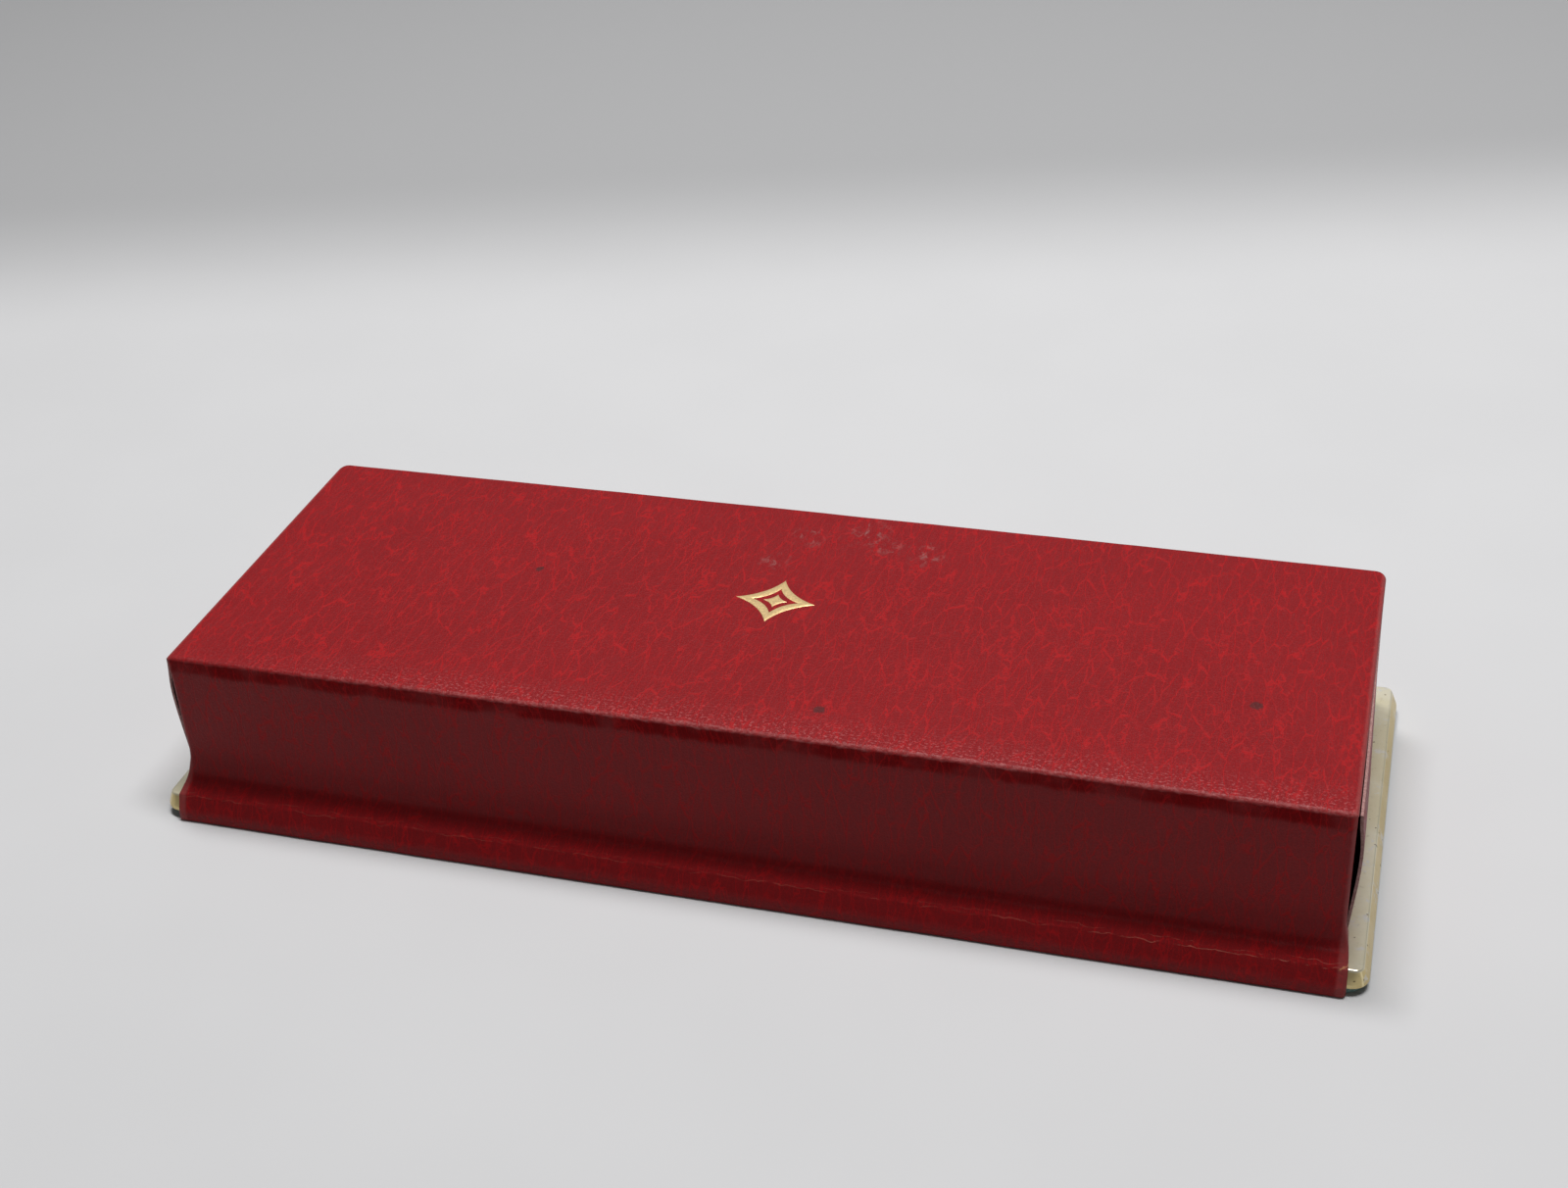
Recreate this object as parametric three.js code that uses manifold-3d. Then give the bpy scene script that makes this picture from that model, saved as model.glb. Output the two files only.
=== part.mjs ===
// A long, low presentation case for a bracelet or a watch, in millimetres, +Z up.
// X runs along the case, the hinge side is +Y and the front, which opens, is -Y.
// The origin is under the middle of the closed case, on the surface it stands on.
//
// The case is made like a book: a base, a spine board and a lid, joined by one leather cover.
// The spine folds on the base just above the rear flange, and the lid folds on the spine's top edge.

import * as THREE from 'three';
import { mergeVertices } from 'three/addons/utils/BufferGeometryUtils.js';
import Module from 'manifold-3d';

const wasm = await Module();
wasm.setup();

// Driving dimensions

const LID_HALF_LENGTH = 105;
const LID_FRONT = -36.75;
const LID_REAR = 35.75;
const LID_TOP = 32.8;
const LID_FOOT = 5.0;
const LID_CORNER_RADIUS = 2.8;

const PAN_HALF_LENGTH = 109.5;
const PAN_FRONT = -42.0;
const PAN_REAR = 41.0;
const PAN_BOTTOM = 1.4;
const PAN_TOP = 4.5;
const PAN_BEVEL = 1.2;
const PAN_CORNER_RADIUS = 4.5;
const PAN_SHEET = 0.5;

const LEATHER = 0.8;
const BOARD = 1.7;
const LINING = 0.4;
const VELVET = 0.5;
const GLUE_GAP = 0.15;
const FREE_GAP = 0.3;

const BAIZE_THICKNESS = 1.2;
const BASE_BOARD_THICKNESS = 2.3;

const PLINTH_HALF_LENGTH = 100.4;
const PLINTH_FRONT = -32.4;
const PLINTH_REAR = 31.4;
const PLINTH_TOP = 15.5;
const PLINTH_WOOD = 2.0;

const BED_BOARD_THICKNESS = 1.5;
const BED_PAD_THICKNESS = 5.0;
const BED_PAD_BEVEL = 1.5;

const LID_PAD_THICKNESS = 3.0;
const LID_PAD_BEVEL = 1.2;
const LID_PAD_BOARD_THICKNESS = 0.8;

const HINGE_CLOTH = 0.2;

// How far the end walls bow outwards at half their height
const END_BOW = 1.2;

// Leather over the hinge: the waist under the spine board and the crease over the flange's edge
const WAIST = { y: 36.3, z: 7.0 };
const CREASE = { y: 40.5, z: 5.2 };
const HINGE_STRIP_HALF_LENGTH = 105.7;
const HINGE_STRIP_FOOT = 42.0;

// Pivot lines, both along X
const SPINE_PIVOT = { y: 38.6, z: 5.5 };
const LID_PIVOT = { y: 35.3, z: 32.3 };
const PIVOT_CLEARANCE = 0.5;

const ORNAMENT_HALF_WIDTH = 7.5;
const ORNAMENT_HALF_DEPTH = 7.0;
const ORNAMENT_CENTRE = { x: 1.5, y: -3.8 };
const ORNAMENT_THICKNESS = 0.12;
// The size of the ornament's opening against its outside
const ORNAMENT_OPENING = 0.55;

// Finishes

const RED_LEATHER = { color: 0x8c2228, roughness: 0.5, metalness: 0 };
const GILT = { color: 0xb3a97c, roughness: 0.35, metalness: 1 };
const FOIL = { color: 0xcbb27a, roughness: 0.3, metalness: 1 };
const TEAL_BAIZE = { color: 0x648784, roughness: 0.95, metalness: 0 };
const GREY_BOARD = { color: 0x8a7f70, roughness: 0.9, metalness: 0 };
const PALE_WOOD = { color: 0xb79a6d, roughness: 0.8, metalness: 0 };
const HINGE_LINEN = { color: 0x2a2422, roughness: 0.9, metalness: 0 };
const IVORY_VELVET = { color: 0xd9cdb4, roughness: 0.95, metalness: 0 };
const IVORY_SATIN = { color: 0xe6dcc6, roughness: 0.4, metalness: 0 };

// Helpers

function material(finish) {
  return new THREE.MeshStandardMaterial(finish);
}

function node(name, geometry, finish) {
  const mesh = new THREE.Mesh(geometry, material(finish));
  mesh.name = name;
  return mesh;
}

function toSolid(geometry) {
  const bare = geometry.clone();
  bare.deleteAttribute('normal');
  bare.deleteAttribute('uv');
  const merged = mergeVertices(bare);
  const vertProperties = new Float32Array(merged.attributes.position.array);
  const triVerts = new Uint32Array(merged.index.array);
  return new wasm.Manifold(new wasm.Mesh({ numProp: 3, vertProperties, triVerts }));
}

function toGeometry(solid) {
  const mesh = solid.getMesh();
  const geometry = new THREE.BufferGeometry();
  geometry.setAttribute('position', new THREE.BufferAttribute(mesh.vertProperties, 3));
  geometry.setIndex(new THREE.BufferAttribute(mesh.triVerts, 1));
  geometry.computeVertexNormals();
  return geometry;
}

function cuboid(x0, x1, y0, y1, z0, z1) {
  const geometry = new THREE.BoxGeometry(x1 - x0, y1 - y0, z1 - z0);
  geometry.translate((x0 + x1) / 2, (y0 + y1) / 2, (z0 + z1) / 2);
  return geometry;
}

// A closed outline with one radius for the front corners and one for the rear corners
function outline(halfLength, front, rear, frontRadius, rearRadius) {
  const shape = new THREE.Shape();
  const right = Math.PI / 2;
  shape.moveTo(-halfLength + frontRadius, front);
  shape.lineTo(halfLength - frontRadius, front);
  if (frontRadius > 0) shape.absarc(halfLength - frontRadius, front + frontRadius, frontRadius, -right, 0);
  shape.lineTo(halfLength, rear - rearRadius);
  if (rearRadius > 0) shape.absarc(halfLength - rearRadius, rear - rearRadius, rearRadius, 0, right);
  shape.lineTo(-halfLength + rearRadius, rear);
  if (rearRadius > 0) {
    shape.absarc(-halfLength + rearRadius, rear - rearRadius, rearRadius, right, 2 * right);
  }
  shape.lineTo(-halfLength, front + frontRadius);
  if (frontRadius > 0) {
    shape.absarc(-halfLength + frontRadius, front + frontRadius, frontRadius, 2 * right, 3 * right);
  }
  return shape;
}

function plate(shape, z0, z1) {
  const settings = { depth: z1 - z0, bevelEnabled: false, curveSegments: 6 };
  const geometry = new THREE.ExtrudeGeometry(shape, settings);
  geometry.translate(0, 0, z0);
  return geometry;
}

// A slab whose top edge slopes inwards all round by the inset
function bevelledSlab(shape, z0, z1, inset, bevelHeight) {
  const geometry = new THREE.ExtrudeGeometry(shape, {
    depth: z1 - z0,
    bevelEnabled: true,
    bevelThickness: bevelHeight,
    bevelSize: inset,
    bevelOffset: -inset,
    bevelSegments: 1,
    curveSegments: 6,
  });
  geometry.translate(0, 0, z0 - bevelHeight);
  const reach = 2 * PAN_HALF_LENGTH;
  return toSolid(geometry).intersect(toSolid(cuboid(-reach, reach, -reach, reach, z0, z1)));
}

// A pad: a slab with one sloped step round its top and bottom edges
function pad(x, front, rear, z0, z1, bevel) {
  const shape = outline(x - bevel, front + bevel, rear - bevel, bevel, bevel);
  const geometry = new THREE.ExtrudeGeometry(shape, {
    depth: z1 - z0 - 2 * bevel,
    bevelEnabled: true,
    bevelThickness: bevel,
    bevelSize: bevel,
    bevelSegments: 2,
    curveSegments: 3,
  });
  geometry.translate(0, 0, z0 + bevel);
  return geometry;
}

// Extrudes a cross-section given in (y, z) along X, centred on x = 0
function alongX(points, halfLength) {
  const shape = new THREE.Shape(points.map(([y, z]) => new THREE.Vector2(y, z)));
  const geometry = new THREE.ExtrudeGeometry(shape, { depth: 2 * halfLength, bevelEnabled: false });
  geometry.translate(0, 0, -halfLength);
  const axes = new THREE.Matrix4().makeBasis(
    new THREE.Vector3(0, 1, 0),
    new THREE.Vector3(0, 0, 1),
    new THREE.Vector3(1, 0, 0),
  );
  geometry.applyMatrix4(axes);
  return geometry;
}

// Base

function undersideBaize() {
  const inset = 0.5;
  const rearTuck = 2.0;
  const radius = PAN_CORNER_RADIUS - inset;
  const shape = outline(PAN_HALF_LENGTH - inset, PAN_FRONT + inset, PAN_REAR - inset, radius, radius);
  const tuckShape = [
    [PAN_REAR - rearTuck, -1],
    [PAN_REAR + 1, -1],
    [PAN_REAR + 1, PAN_BOTTOM],
    [PAN_REAR - rearTuck, PAN_BOTTOM],
  ];
  const tuck = alongX(tuckShape, HINGE_STRIP_HALF_LENGTH + FREE_GAP);
  const solid = toSolid(plate(shape, 0, BAIZE_THICKNESS)).subtract(toSolid(tuck));
  return node('underside_baize', toGeometry(solid), TEAL_BAIZE);
}

function baseBoard() {
  const clearance = PAN_BEVEL + PAN_SHEET + FREE_GAP;
  const radius = PAN_CORNER_RADIUS - clearance;
  const halfLength = PAN_HALF_LENGTH - clearance;
  const shape = outline(halfLength, PAN_FRONT + clearance, PAN_REAR - clearance, radius, radius);
  return node('base_board', plate(shape, PAN_BOTTOM, PAN_BOTTOM + BASE_BOARD_THICKNESS), GREY_BOARD);
}

// A pressed tray, open underneath: a flat plate with a steep bevelled skirt all round
function giltPan() {
  const height = PAN_TOP - PAN_BOTTOM;
  const radius = PAN_CORNER_RADIUS;
  const outer = outline(PAN_HALF_LENGTH, PAN_FRONT, PAN_REAR, radius, radius);
  const inner = outline(
    PAN_HALF_LENGTH - PAN_SHEET,
    PAN_FRONT + PAN_SHEET,
    PAN_REAR - PAN_SHEET,
    radius - PAN_SHEET,
    radius - PAN_SHEET,
  );
  const skin = bevelledSlab(outer, PAN_BOTTOM, PAN_TOP, PAN_BEVEL, height);
  const hollow = bevelledSlab(inner, PAN_BOTTOM - 1, PAN_TOP - PAN_SHEET, PAN_BEVEL, height);
  return node('gilt_pan', toGeometry(skin.subtract(hollow)), GILT);
}

// The leather glued over the rear bevel: from the fold line over the flange, down and under the pan
function hingeLeather() {
  const inner = PAN_REAR + GLUE_GAP;
  const section = [
    [SPINE_PIVOT.y + PIVOT_CLEARANCE, PAN_TOP + GLUE_GAP],
    [PAN_REAR - PAN_BEVEL + GLUE_GAP, PAN_TOP + GLUE_GAP],
    [inner, PAN_BOTTOM],
    [inner - LEATHER, PAN_BOTTOM - GLUE_GAP],
    [PAN_REAR - 1.7, PAN_BOTTOM - GLUE_GAP],
    [PAN_REAR - 1.7, 0],
    [HINGE_STRIP_FOOT - 0.5, 0],
    [HINGE_STRIP_FOOT, 0.5],
    [HINGE_STRIP_FOOT, 1.6],
    [CREASE.y + 0.1, CREASE.z - 0.4],
    [CREASE.y - 0.5, CREASE.z],
    [SPINE_PIVOT.y + PIVOT_CLEARANCE, SPINE_PIVOT.z + 0.1],
  ];
  return node('hinge_leather', alongX(section, HINGE_STRIP_HALF_LENGTH), RED_LEATHER);
}

function hingeCloth() {
  const front = PLINTH_REAR + FREE_GAP;
  const rear = SPINE_PIVOT.y - PIVOT_CLEARANCE - FREE_GAP;
  const bottom = PAN_TOP + 0.05;
  const half = LID_HALF_LENGTH - 3;
  return node('hinge_cloth', cuboid(-half, half, front, rear, bottom, bottom + HINGE_CLOTH), HINGE_LINEN);
}

function plinthBoards() {
  const skin = VELVET + GLUE_GAP;
  const half = PLINTH_HALF_LENGTH - skin;
  const front = PLINTH_FRONT + skin;
  const rear = PLINTH_REAR - skin;
  const bottom = PAN_TOP + GLUE_GAP;
  const top = PLINTH_TOP - skin;
  const wood = PLINTH_WOOD;
  const joint = wood + GLUE_GAP;
  return [
    node('plinth_front', cuboid(-half, half, front, front + wood, bottom, top), PALE_WOOD),
    node('plinth_rear', cuboid(-half, half, rear - wood, rear, bottom, top), PALE_WOOD),
    node('plinth_left', cuboid(-half, -half + wood, front + joint, rear - joint, bottom, top), PALE_WOOD),
    node('plinth_right', cuboid(half - wood, half, front + joint, rear - joint, bottom, top), PALE_WOOD),
  ];
}

// How far the plinth's frame and its velvet reach inwards from the plinth's outside
const PLINTH_WALL = PLINTH_WOOD + 2 * (VELVET + GLUE_GAP);

// Velvet turned over the plinth's frame: outside, top and inside, open underneath
function wellVelvet() {
  const bottom = PAN_TOP + GLUE_GAP;
  const radius = 1.0;
  const shape = outline(PLINTH_HALF_LENGTH, PLINTH_FRONT, PLINTH_REAR, radius, radius);
  const block = plate(shape, bottom, PLINTH_TOP);
  const x = PLINTH_HALF_LENGTH - PLINTH_WALL;
  const front = PLINTH_FRONT + PLINTH_WALL;
  const rear = PLINTH_REAR - PLINTH_WALL;
  const well = cuboid(-x, x, front, rear, 0, PLINTH_TOP + 1);
  const slotOuter = cuboid(
    -PLINTH_HALF_LENGTH + VELVET,
    PLINTH_HALF_LENGTH - VELVET,
    PLINTH_FRONT + VELVET,
    PLINTH_REAR - VELVET,
    0,
    PLINTH_TOP - VELVET,
  );
  const core = cuboid(-x - VELVET, x + VELVET, front - VELVET, rear + VELVET, 0, PLINTH_TOP);
  const slot = toSolid(slotOuter).subtract(toSolid(core));
  const solid = toSolid(block).subtract(toSolid(well)).subtract(slot);
  return node('well_velvet', toGeometry(solid), IVORY_VELVET);
}

const BED_BOTTOM = PAN_TOP + GLUE_GAP;
const BED_HALF_LENGTH = PLINTH_HALF_LENGTH - PLINTH_WALL - FREE_GAP;
const BED_FRONT = PLINTH_FRONT + PLINTH_WALL + FREE_GAP;
const BED_REAR = PLINTH_REAR - PLINTH_WALL - FREE_GAP;

function bedBoard() {
  const top = BED_BOTTOM + BED_BOARD_THICKNESS;
  const geometry = cuboid(-BED_HALF_LENGTH, BED_HALF_LENGTH, BED_FRONT, BED_REAR, BED_BOTTOM, top);
  return node('bed_board', geometry, GREY_BOARD);
}

function bedPad() {
  const bottom = BED_BOTTOM + BED_BOARD_THICKNESS + GLUE_GAP;
  const top = bottom + BED_PAD_THICKNESS;
  const geometry = pad(BED_HALF_LENGTH, BED_FRONT, BED_REAR, bottom, top, BED_PAD_BEVEL);
  return node('bed_pad', geometry, IVORY_VELVET);
}

// Spine

const SPINE_OUTER = LID_REAR + 0.1;
const SPINE_BOARD_OUTER = SPINE_OUTER - LEATHER - GLUE_GAP;
const SPINE_TOP = LID_TOP - LEATHER - 2 * GLUE_GAP - BOARD - FREE_GAP;

function spineBoard() {
  const half = LID_HALF_LENGTH - 1.2;
  const y0 = SPINE_BOARD_OUTER - BOARD;
  const geometry = cuboid(-half, half, y0, SPINE_BOARD_OUTER, WAIST.z + 0.4, SPINE_TOP);
  return node('spine_board', geometry, GREY_BOARD);
}

// The leather over the spine: straight down to the waist, then flaring out to the fold line
function spineLeather() {
  const foldEnd = SPINE_PIVOT.y - PIVOT_CLEARANCE;
  const top = LID_PIVOT.z - PIVOT_CLEARANCE;
  const section = [
    [SPINE_OUTER, top],
    [SPINE_OUTER - LEATHER, top],
    [SPINE_OUTER - LEATHER, WAIST.z - 0.2],
    [foldEnd, SPINE_PIVOT.z - 0.5],
    [foldEnd, SPINE_PIVOT.z + 0.4],
    [WAIST.y, WAIST.z],
    [SPINE_OUTER, WAIST.z + 2],
  ];
  return node('spine_leather', alongX(section, LID_HALF_LENGTH - 0.3), RED_LEATHER);
}

function spineLining() {
  const half = LID_HALF_LENGTH - 4.2;
  const y1 = SPINE_BOARD_OUTER - BOARD - GLUE_GAP;
  const geometry = cuboid(-half, half, y1 - LINING, y1, WAIST.z + 0.4, SPINE_TOP - 1.0);
  return node('spine_lining', geometry, IVORY_SATIN);
}

// Lid

const LID_SKIN = LEATHER + GLUE_GAP;
const LID_BOARD_TOP = LID_TOP - LID_SKIN;
const LID_BOARD_UNDERSIDE = LID_BOARD_TOP - BOARD;
const WALL_TOP = LID_BOARD_UNDERSIDE - GLUE_GAP;
const WALL_OUTER = LID_HALF_LENGTH - LID_SKIN;
const WALL_INNER = WALL_OUTER - BOARD;
const FRONT_OUTER = LID_FRONT + LID_SKIN;
const FRONT_INNER = FRONT_OUTER + BOARD;
const WALL_REAR = SPINE_BOARD_OUTER - BOARD - 0.5;
const LINING_INNER = WALL_INNER - GLUE_GAP - LINING;
const LINING_FRONT = FRONT_INNER + GLUE_GAP + LINING;
const LINING_REAR = WALL_REAR - 1.0;
const LID_WALL_FOOT = LID_FOOT + 0.1;

function lidTopBoard() {
  const radius = LID_CORNER_RADIUS - LID_SKIN;
  const shape = outline(WALL_OUTER, FRONT_OUTER, LID_PIVOT.y - PIVOT_CLEARANCE, radius, 0);
  return node('lid_top_board', plate(shape, LID_BOARD_UNDERSIDE, LID_BOARD_TOP), GREY_BOARD);
}

function lidFrontBoard() {
  const half = WALL_INNER - GLUE_GAP;
  const geometry = cuboid(-half, half, FRONT_OUTER, FRONT_INNER, LID_WALL_FOOT, WALL_TOP);
  return node('lid_front_board', geometry, GREY_BOARD);
}

// An end wall's board, its outer front corner rounded; side is -1 for left and 1 for right
function lidEndBoard(name, side) {
  const radius = LID_CORNER_RADIUS - LID_SKIN;
  const whole = plate(outline(WALL_OUTER, FRONT_OUTER, WALL_REAR, radius, 0), LID_WALL_FOOT, WALL_TOP);
  const x0 = side > 0 ? WALL_INNER : -WALL_OUTER - 1;
  const x1 = side > 0 ? WALL_OUTER + 1 : -WALL_INNER;
  const keep = cuboid(x0, x1, FRONT_OUTER - 1, WALL_REAR + 1, 0, LID_TOP);
  return node(name, toGeometry(toSolid(whole).intersect(toSolid(keep))), GREY_BOARD);
}

function lidTopLeather() {
  const shape = outline(LID_HALF_LENGTH, LID_FRONT, LID_PIVOT.y - 0.2, LID_CORNER_RADIUS, 0);
  return node('lid_top_leather', plate(shape, LID_TOP - LEATHER, LID_TOP), RED_LEATHER);
}

// The bowed face of one end wall: a low arc over the wall's height, drawn along Y
function endBow(side) {
  const foot = LID_FOOT + 0.4;
  const top = LID_TOP - LEATHER - 0.4;
  const steps = 10;
  const base = LID_HALF_LENGTH - 0.3;
  const shape = new THREE.Shape();
  shape.moveTo(side * base, foot);
  shape.lineTo(side * base, top);
  for (let step = 0; step <= steps; step += 1) {
    const t = step / steps;
    const z = top + (foot - top) * t;
    shape.lineTo(side * (LID_HALF_LENGTH + END_BOW * Math.sin(Math.PI * t)), z);
  }
  const length = LID_REAR - LEATHER - LID_FRONT - LID_CORNER_RADIUS - 1;
  const geometry = new THREE.ExtrudeGeometry(shape, { depth: length, bevelEnabled: false });
  const axes = new THREE.Matrix4().makeBasis(
    new THREE.Vector3(1, 0, 0),
    new THREE.Vector3(0, 0, 1),
    new THREE.Vector3(0, -1, 0),
  );
  geometry.applyMatrix4(axes);
  geometry.translate(0, LID_REAR - LEATHER - FREE_GAP, 0);
  return toSolid(geometry);
}

// One strip of leather round the front and both ends, under the top's leather
function lidWallLeather() {
  const rear = LID_REAR - LEATHER - FREE_GAP;
  const top = LID_TOP - LEATHER - GLUE_GAP;
  const innerRadius = LID_CORNER_RADIUS - LEATHER;
  const outer = plate(outline(LID_HALF_LENGTH, LID_FRONT, rear, LID_CORNER_RADIUS, 0), LID_FOOT, top);
  const innerShape = outline(LID_HALF_LENGTH - LEATHER, LID_FRONT + LEATHER, rear + 1, innerRadius, 0);
  const inner = plate(innerShape, LID_FOOT - 1, top + 1);
  const strip = toSolid(outer).subtract(toSolid(inner)).add(endBow(-1)).add(endBow(1));
  return node('lid_wall_leather', toGeometry(strip), RED_LEATHER);
}

function lidPadBoard() {
  const z1 = LID_BOARD_UNDERSIDE - GLUE_GAP;
  const z0 = z1 - LID_PAD_BOARD_THICKNESS;
  const half = LINING_INNER - FREE_GAP;
  const geometry = cuboid(-half, half, LINING_FRONT + FREE_GAP, LINING_REAR, z0, z1);
  return node('lid_pad_board', geometry, GREY_BOARD);
}

function lidPad() {
  const top = LID_BOARD_UNDERSIDE - 2 * GLUE_GAP - LID_PAD_BOARD_THICKNESS;
  const bottom = top - LID_PAD_THICKNESS;
  const half = LINING_INNER - FREE_GAP;
  const geometry = pad(half, LINING_FRONT + FREE_GAP, LINING_REAR, bottom, top, LID_PAD_BEVEL);
  return node('lid_pad', geometry, IVORY_SATIN);
}

// The strip of satin behind the pad, which turns down over the top fold's inner side
function ridgeCloth() {
  const top = LID_BOARD_UNDERSIDE - 0.05;
  const half = LINING_INNER - FREE_GAP;
  const rear = LID_PIVOT.y - PIVOT_CLEARANCE - FREE_GAP;
  const geometry = cuboid(-half, half, LINING_REAR + 0.2, rear, top - HINGE_CLOTH, top);
  return node('ridge_cloth', geometry, IVORY_SATIN);
}

function lidLinings() {
  const top = WALL_TOP;
  const foot = LID_WALL_FOOT + 0.6;
  const front = LINING_FRONT - LINING;
  const half = LINING_INNER - GLUE_GAP;
  const wallFront = LINING_FRONT + GLUE_GAP;
  const outerX = LINING_INNER + LINING;
  return [
    node('lid_lining_front', cuboid(-half, half, front, LINING_FRONT, foot, top), IVORY_SATIN),
    node('lid_lining_left', cuboid(-outerX, -LINING_INNER, wallFront, LINING_REAR, foot, top), IVORY_SATIN),
    node('lid_lining_right', cuboid(LINING_INNER, outerX, wallFront, LINING_REAR, foot, top), IVORY_SATIN),
  ];
}

// A lozenge with hollowed sides; size is 1 for the whole ornament
function lozenge(Outline, size) {
  const hollow = 0.28;
  const x = size * ORNAMENT_HALF_WIDTH;
  const y = size * ORNAMENT_HALF_DEPTH;
  const tips = [[x, 0], [0, y], [-x, 0], [0, -y]];
  const path = new Outline();
  path.moveTo(x, 0);
  tips.forEach(([x0, y0], index) => {
    const [x1, y1] = tips[(index + 1) % tips.length];
    path.quadraticCurveTo(hollow * (x0 + x1), hollow * (y0 + y1), x1, y1);
  });
  return path;
}

// A lozenge frame stamped on the top: a plain ornament
function foilOrnament() {
  const shape = lozenge(THREE.Shape, 1);
  shape.holes.push(lozenge(THREE.Path, ORNAMENT_OPENING));
  const geometry = plate(shape, 0, ORNAMENT_THICKNESS);
  geometry.translate(ORNAMENT_CENTRE.x, ORNAMENT_CENTRE.y, LID_TOP + 0.02);
  return node('foil_ornament', geometry, FOIL);
}

// Assembly

const base = new THREE.Group();
base.add(undersideBaize(), baseBoard(), giltPan(), hingeLeather(), hingeCloth());
base.add(...plinthBoards(), wellVelvet(), bedBoard(), bedPad());

const spine = new THREE.Group();
spine.add(spineBoard(), spineLeather(), spineLining());

const lid = new THREE.Group();
lid.add(lidTopBoard(), lidFrontBoard());
lid.add(lidEndBoard('lid_end_board_left', -1), lidEndBoard('lid_end_board_right', 1));
lid.add(lidTopLeather(), lidWallLeather(), lidPadBoard(), lidPad());
lid.add(ridgeCloth(), ...lidLinings(), foilOrnament());

const group = new THREE.Group();
group.add(base, spine, lid);

export default group;
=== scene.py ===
"""A long red leather presentation case on a gilt pan, with book-style leather hinges.

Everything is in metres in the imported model's frame: X along the case, the hinge side at +Y, +Z up.
Lengths written in millimetres are multiplied by MM.
"""
import itertools
import math

import bpy
import numpy as np
from mathutils import Matrix, Vector, noise


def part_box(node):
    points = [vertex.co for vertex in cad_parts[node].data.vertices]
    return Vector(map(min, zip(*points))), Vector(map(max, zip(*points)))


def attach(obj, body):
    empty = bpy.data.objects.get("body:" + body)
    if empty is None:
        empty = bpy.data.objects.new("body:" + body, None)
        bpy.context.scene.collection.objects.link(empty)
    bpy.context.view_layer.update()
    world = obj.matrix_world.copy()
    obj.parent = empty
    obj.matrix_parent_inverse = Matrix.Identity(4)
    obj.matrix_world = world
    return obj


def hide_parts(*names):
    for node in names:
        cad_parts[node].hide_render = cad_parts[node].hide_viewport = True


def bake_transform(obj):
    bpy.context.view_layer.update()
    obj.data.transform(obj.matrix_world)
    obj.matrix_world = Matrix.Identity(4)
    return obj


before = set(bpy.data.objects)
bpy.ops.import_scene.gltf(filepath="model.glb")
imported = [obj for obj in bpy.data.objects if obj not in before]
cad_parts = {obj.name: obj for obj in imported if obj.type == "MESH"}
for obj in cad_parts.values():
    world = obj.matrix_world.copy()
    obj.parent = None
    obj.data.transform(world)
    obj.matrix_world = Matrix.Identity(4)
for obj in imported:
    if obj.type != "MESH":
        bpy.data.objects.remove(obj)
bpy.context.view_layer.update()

MM = 0.001
FULL_TURN = 2 * math.pi


# ---- sizes read from the frame

def box_mm(node):
    """The lowest and the highest corner of a CAD node's box, in millimetres."""
    return [[value / MM for value in corner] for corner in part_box(node)]


def span(node, axis):
    """Lowest and highest value of a CAD node along an axis, in millimetres."""
    low, high = box_mm(node)
    return low[axis], high[axis]


X, Y, Z = 0, 1, 2

LID_HALF = span("lid_top_leather", X)[1]
LID_FRONT = span("lid_top_leather", Y)[0]
LID_TOP = span("lid_top_leather", Z)[1]
LID_SKIN_TOP = span("lid_wall_leather", Z)[1]
WALL_REAR = span("lid_wall_leather", Y)[1]
BOARD_FOOT = span("lid_front_board", Z)[0]
LINING_FOOT = span("lid_lining_front", Z)[0]
LINING_FACE = span("lid_lining_front", Y)[1]

SPINE_INNER_FACE = span("spine_board", Y)[0]
SPINE_BOARD_FOOT = span("spine_board", Z)[0]
SPINE_BOARD_TOP = span("spine_board", Z)[1]
SPINE_SKIN = 0.95
SPINE_REAR = span("spine_board", Y)[1] + SPINE_SKIN

PAN_LOW = (span("gilt_pan", X)[0], span("gilt_pan", Y)[0])
PAN_HIGH = (span("gilt_pan", X)[1], span("gilt_pan", Y)[1])
PAN_FOOT, PAN_FLANGE = span("gilt_pan", Z)
STRIP_HALF = span("hinge_leather", X)[1]
STRIP_REAR = span("hinge_leather", Y)[1]


# ---- mesh helpers

def link(obj):
    bpy.context.scene.collection.objects.link(obj)
    return obj


def configure(thing, **settings):
    for key, value in settings.items():
        setattr(thing, key, value)


def paint(obj, *materials):
    """Gives an object its material slots, in order."""
    for material in materials:
        obj.data.materials.append(material)


def mesh_object(name, points, faces, smooth_angle=35):
    """A mesh from points in millimetres, shaded smooth below an angle in degrees."""
    mesh = bpy.data.meshes.new(name)
    mesh.from_pydata([tuple(value * MM for value in point) for point in points], [], faces)
    mesh.validate()
    obj = link(bpy.data.objects.new(name, mesh))
    mesh.shade_smooth()
    mesh.set_sharp_from_angle(angle=math.radians(smooth_angle))
    return obj


def set_uv(obj, uv_points):
    """Writes one UV pair in millimetres per point as a UV map in metres."""
    layer = obj.data.uv_layers.new(name="sheet")
    for polygon in obj.data.polygons:
        for loop_index in polygon.loop_indices:
            vertex = obj.data.loops[loop_index].vertex_index
            u, v = uv_points[vertex]
            layer.data[loop_index].uv = (u * MM, v * MM)


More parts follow.
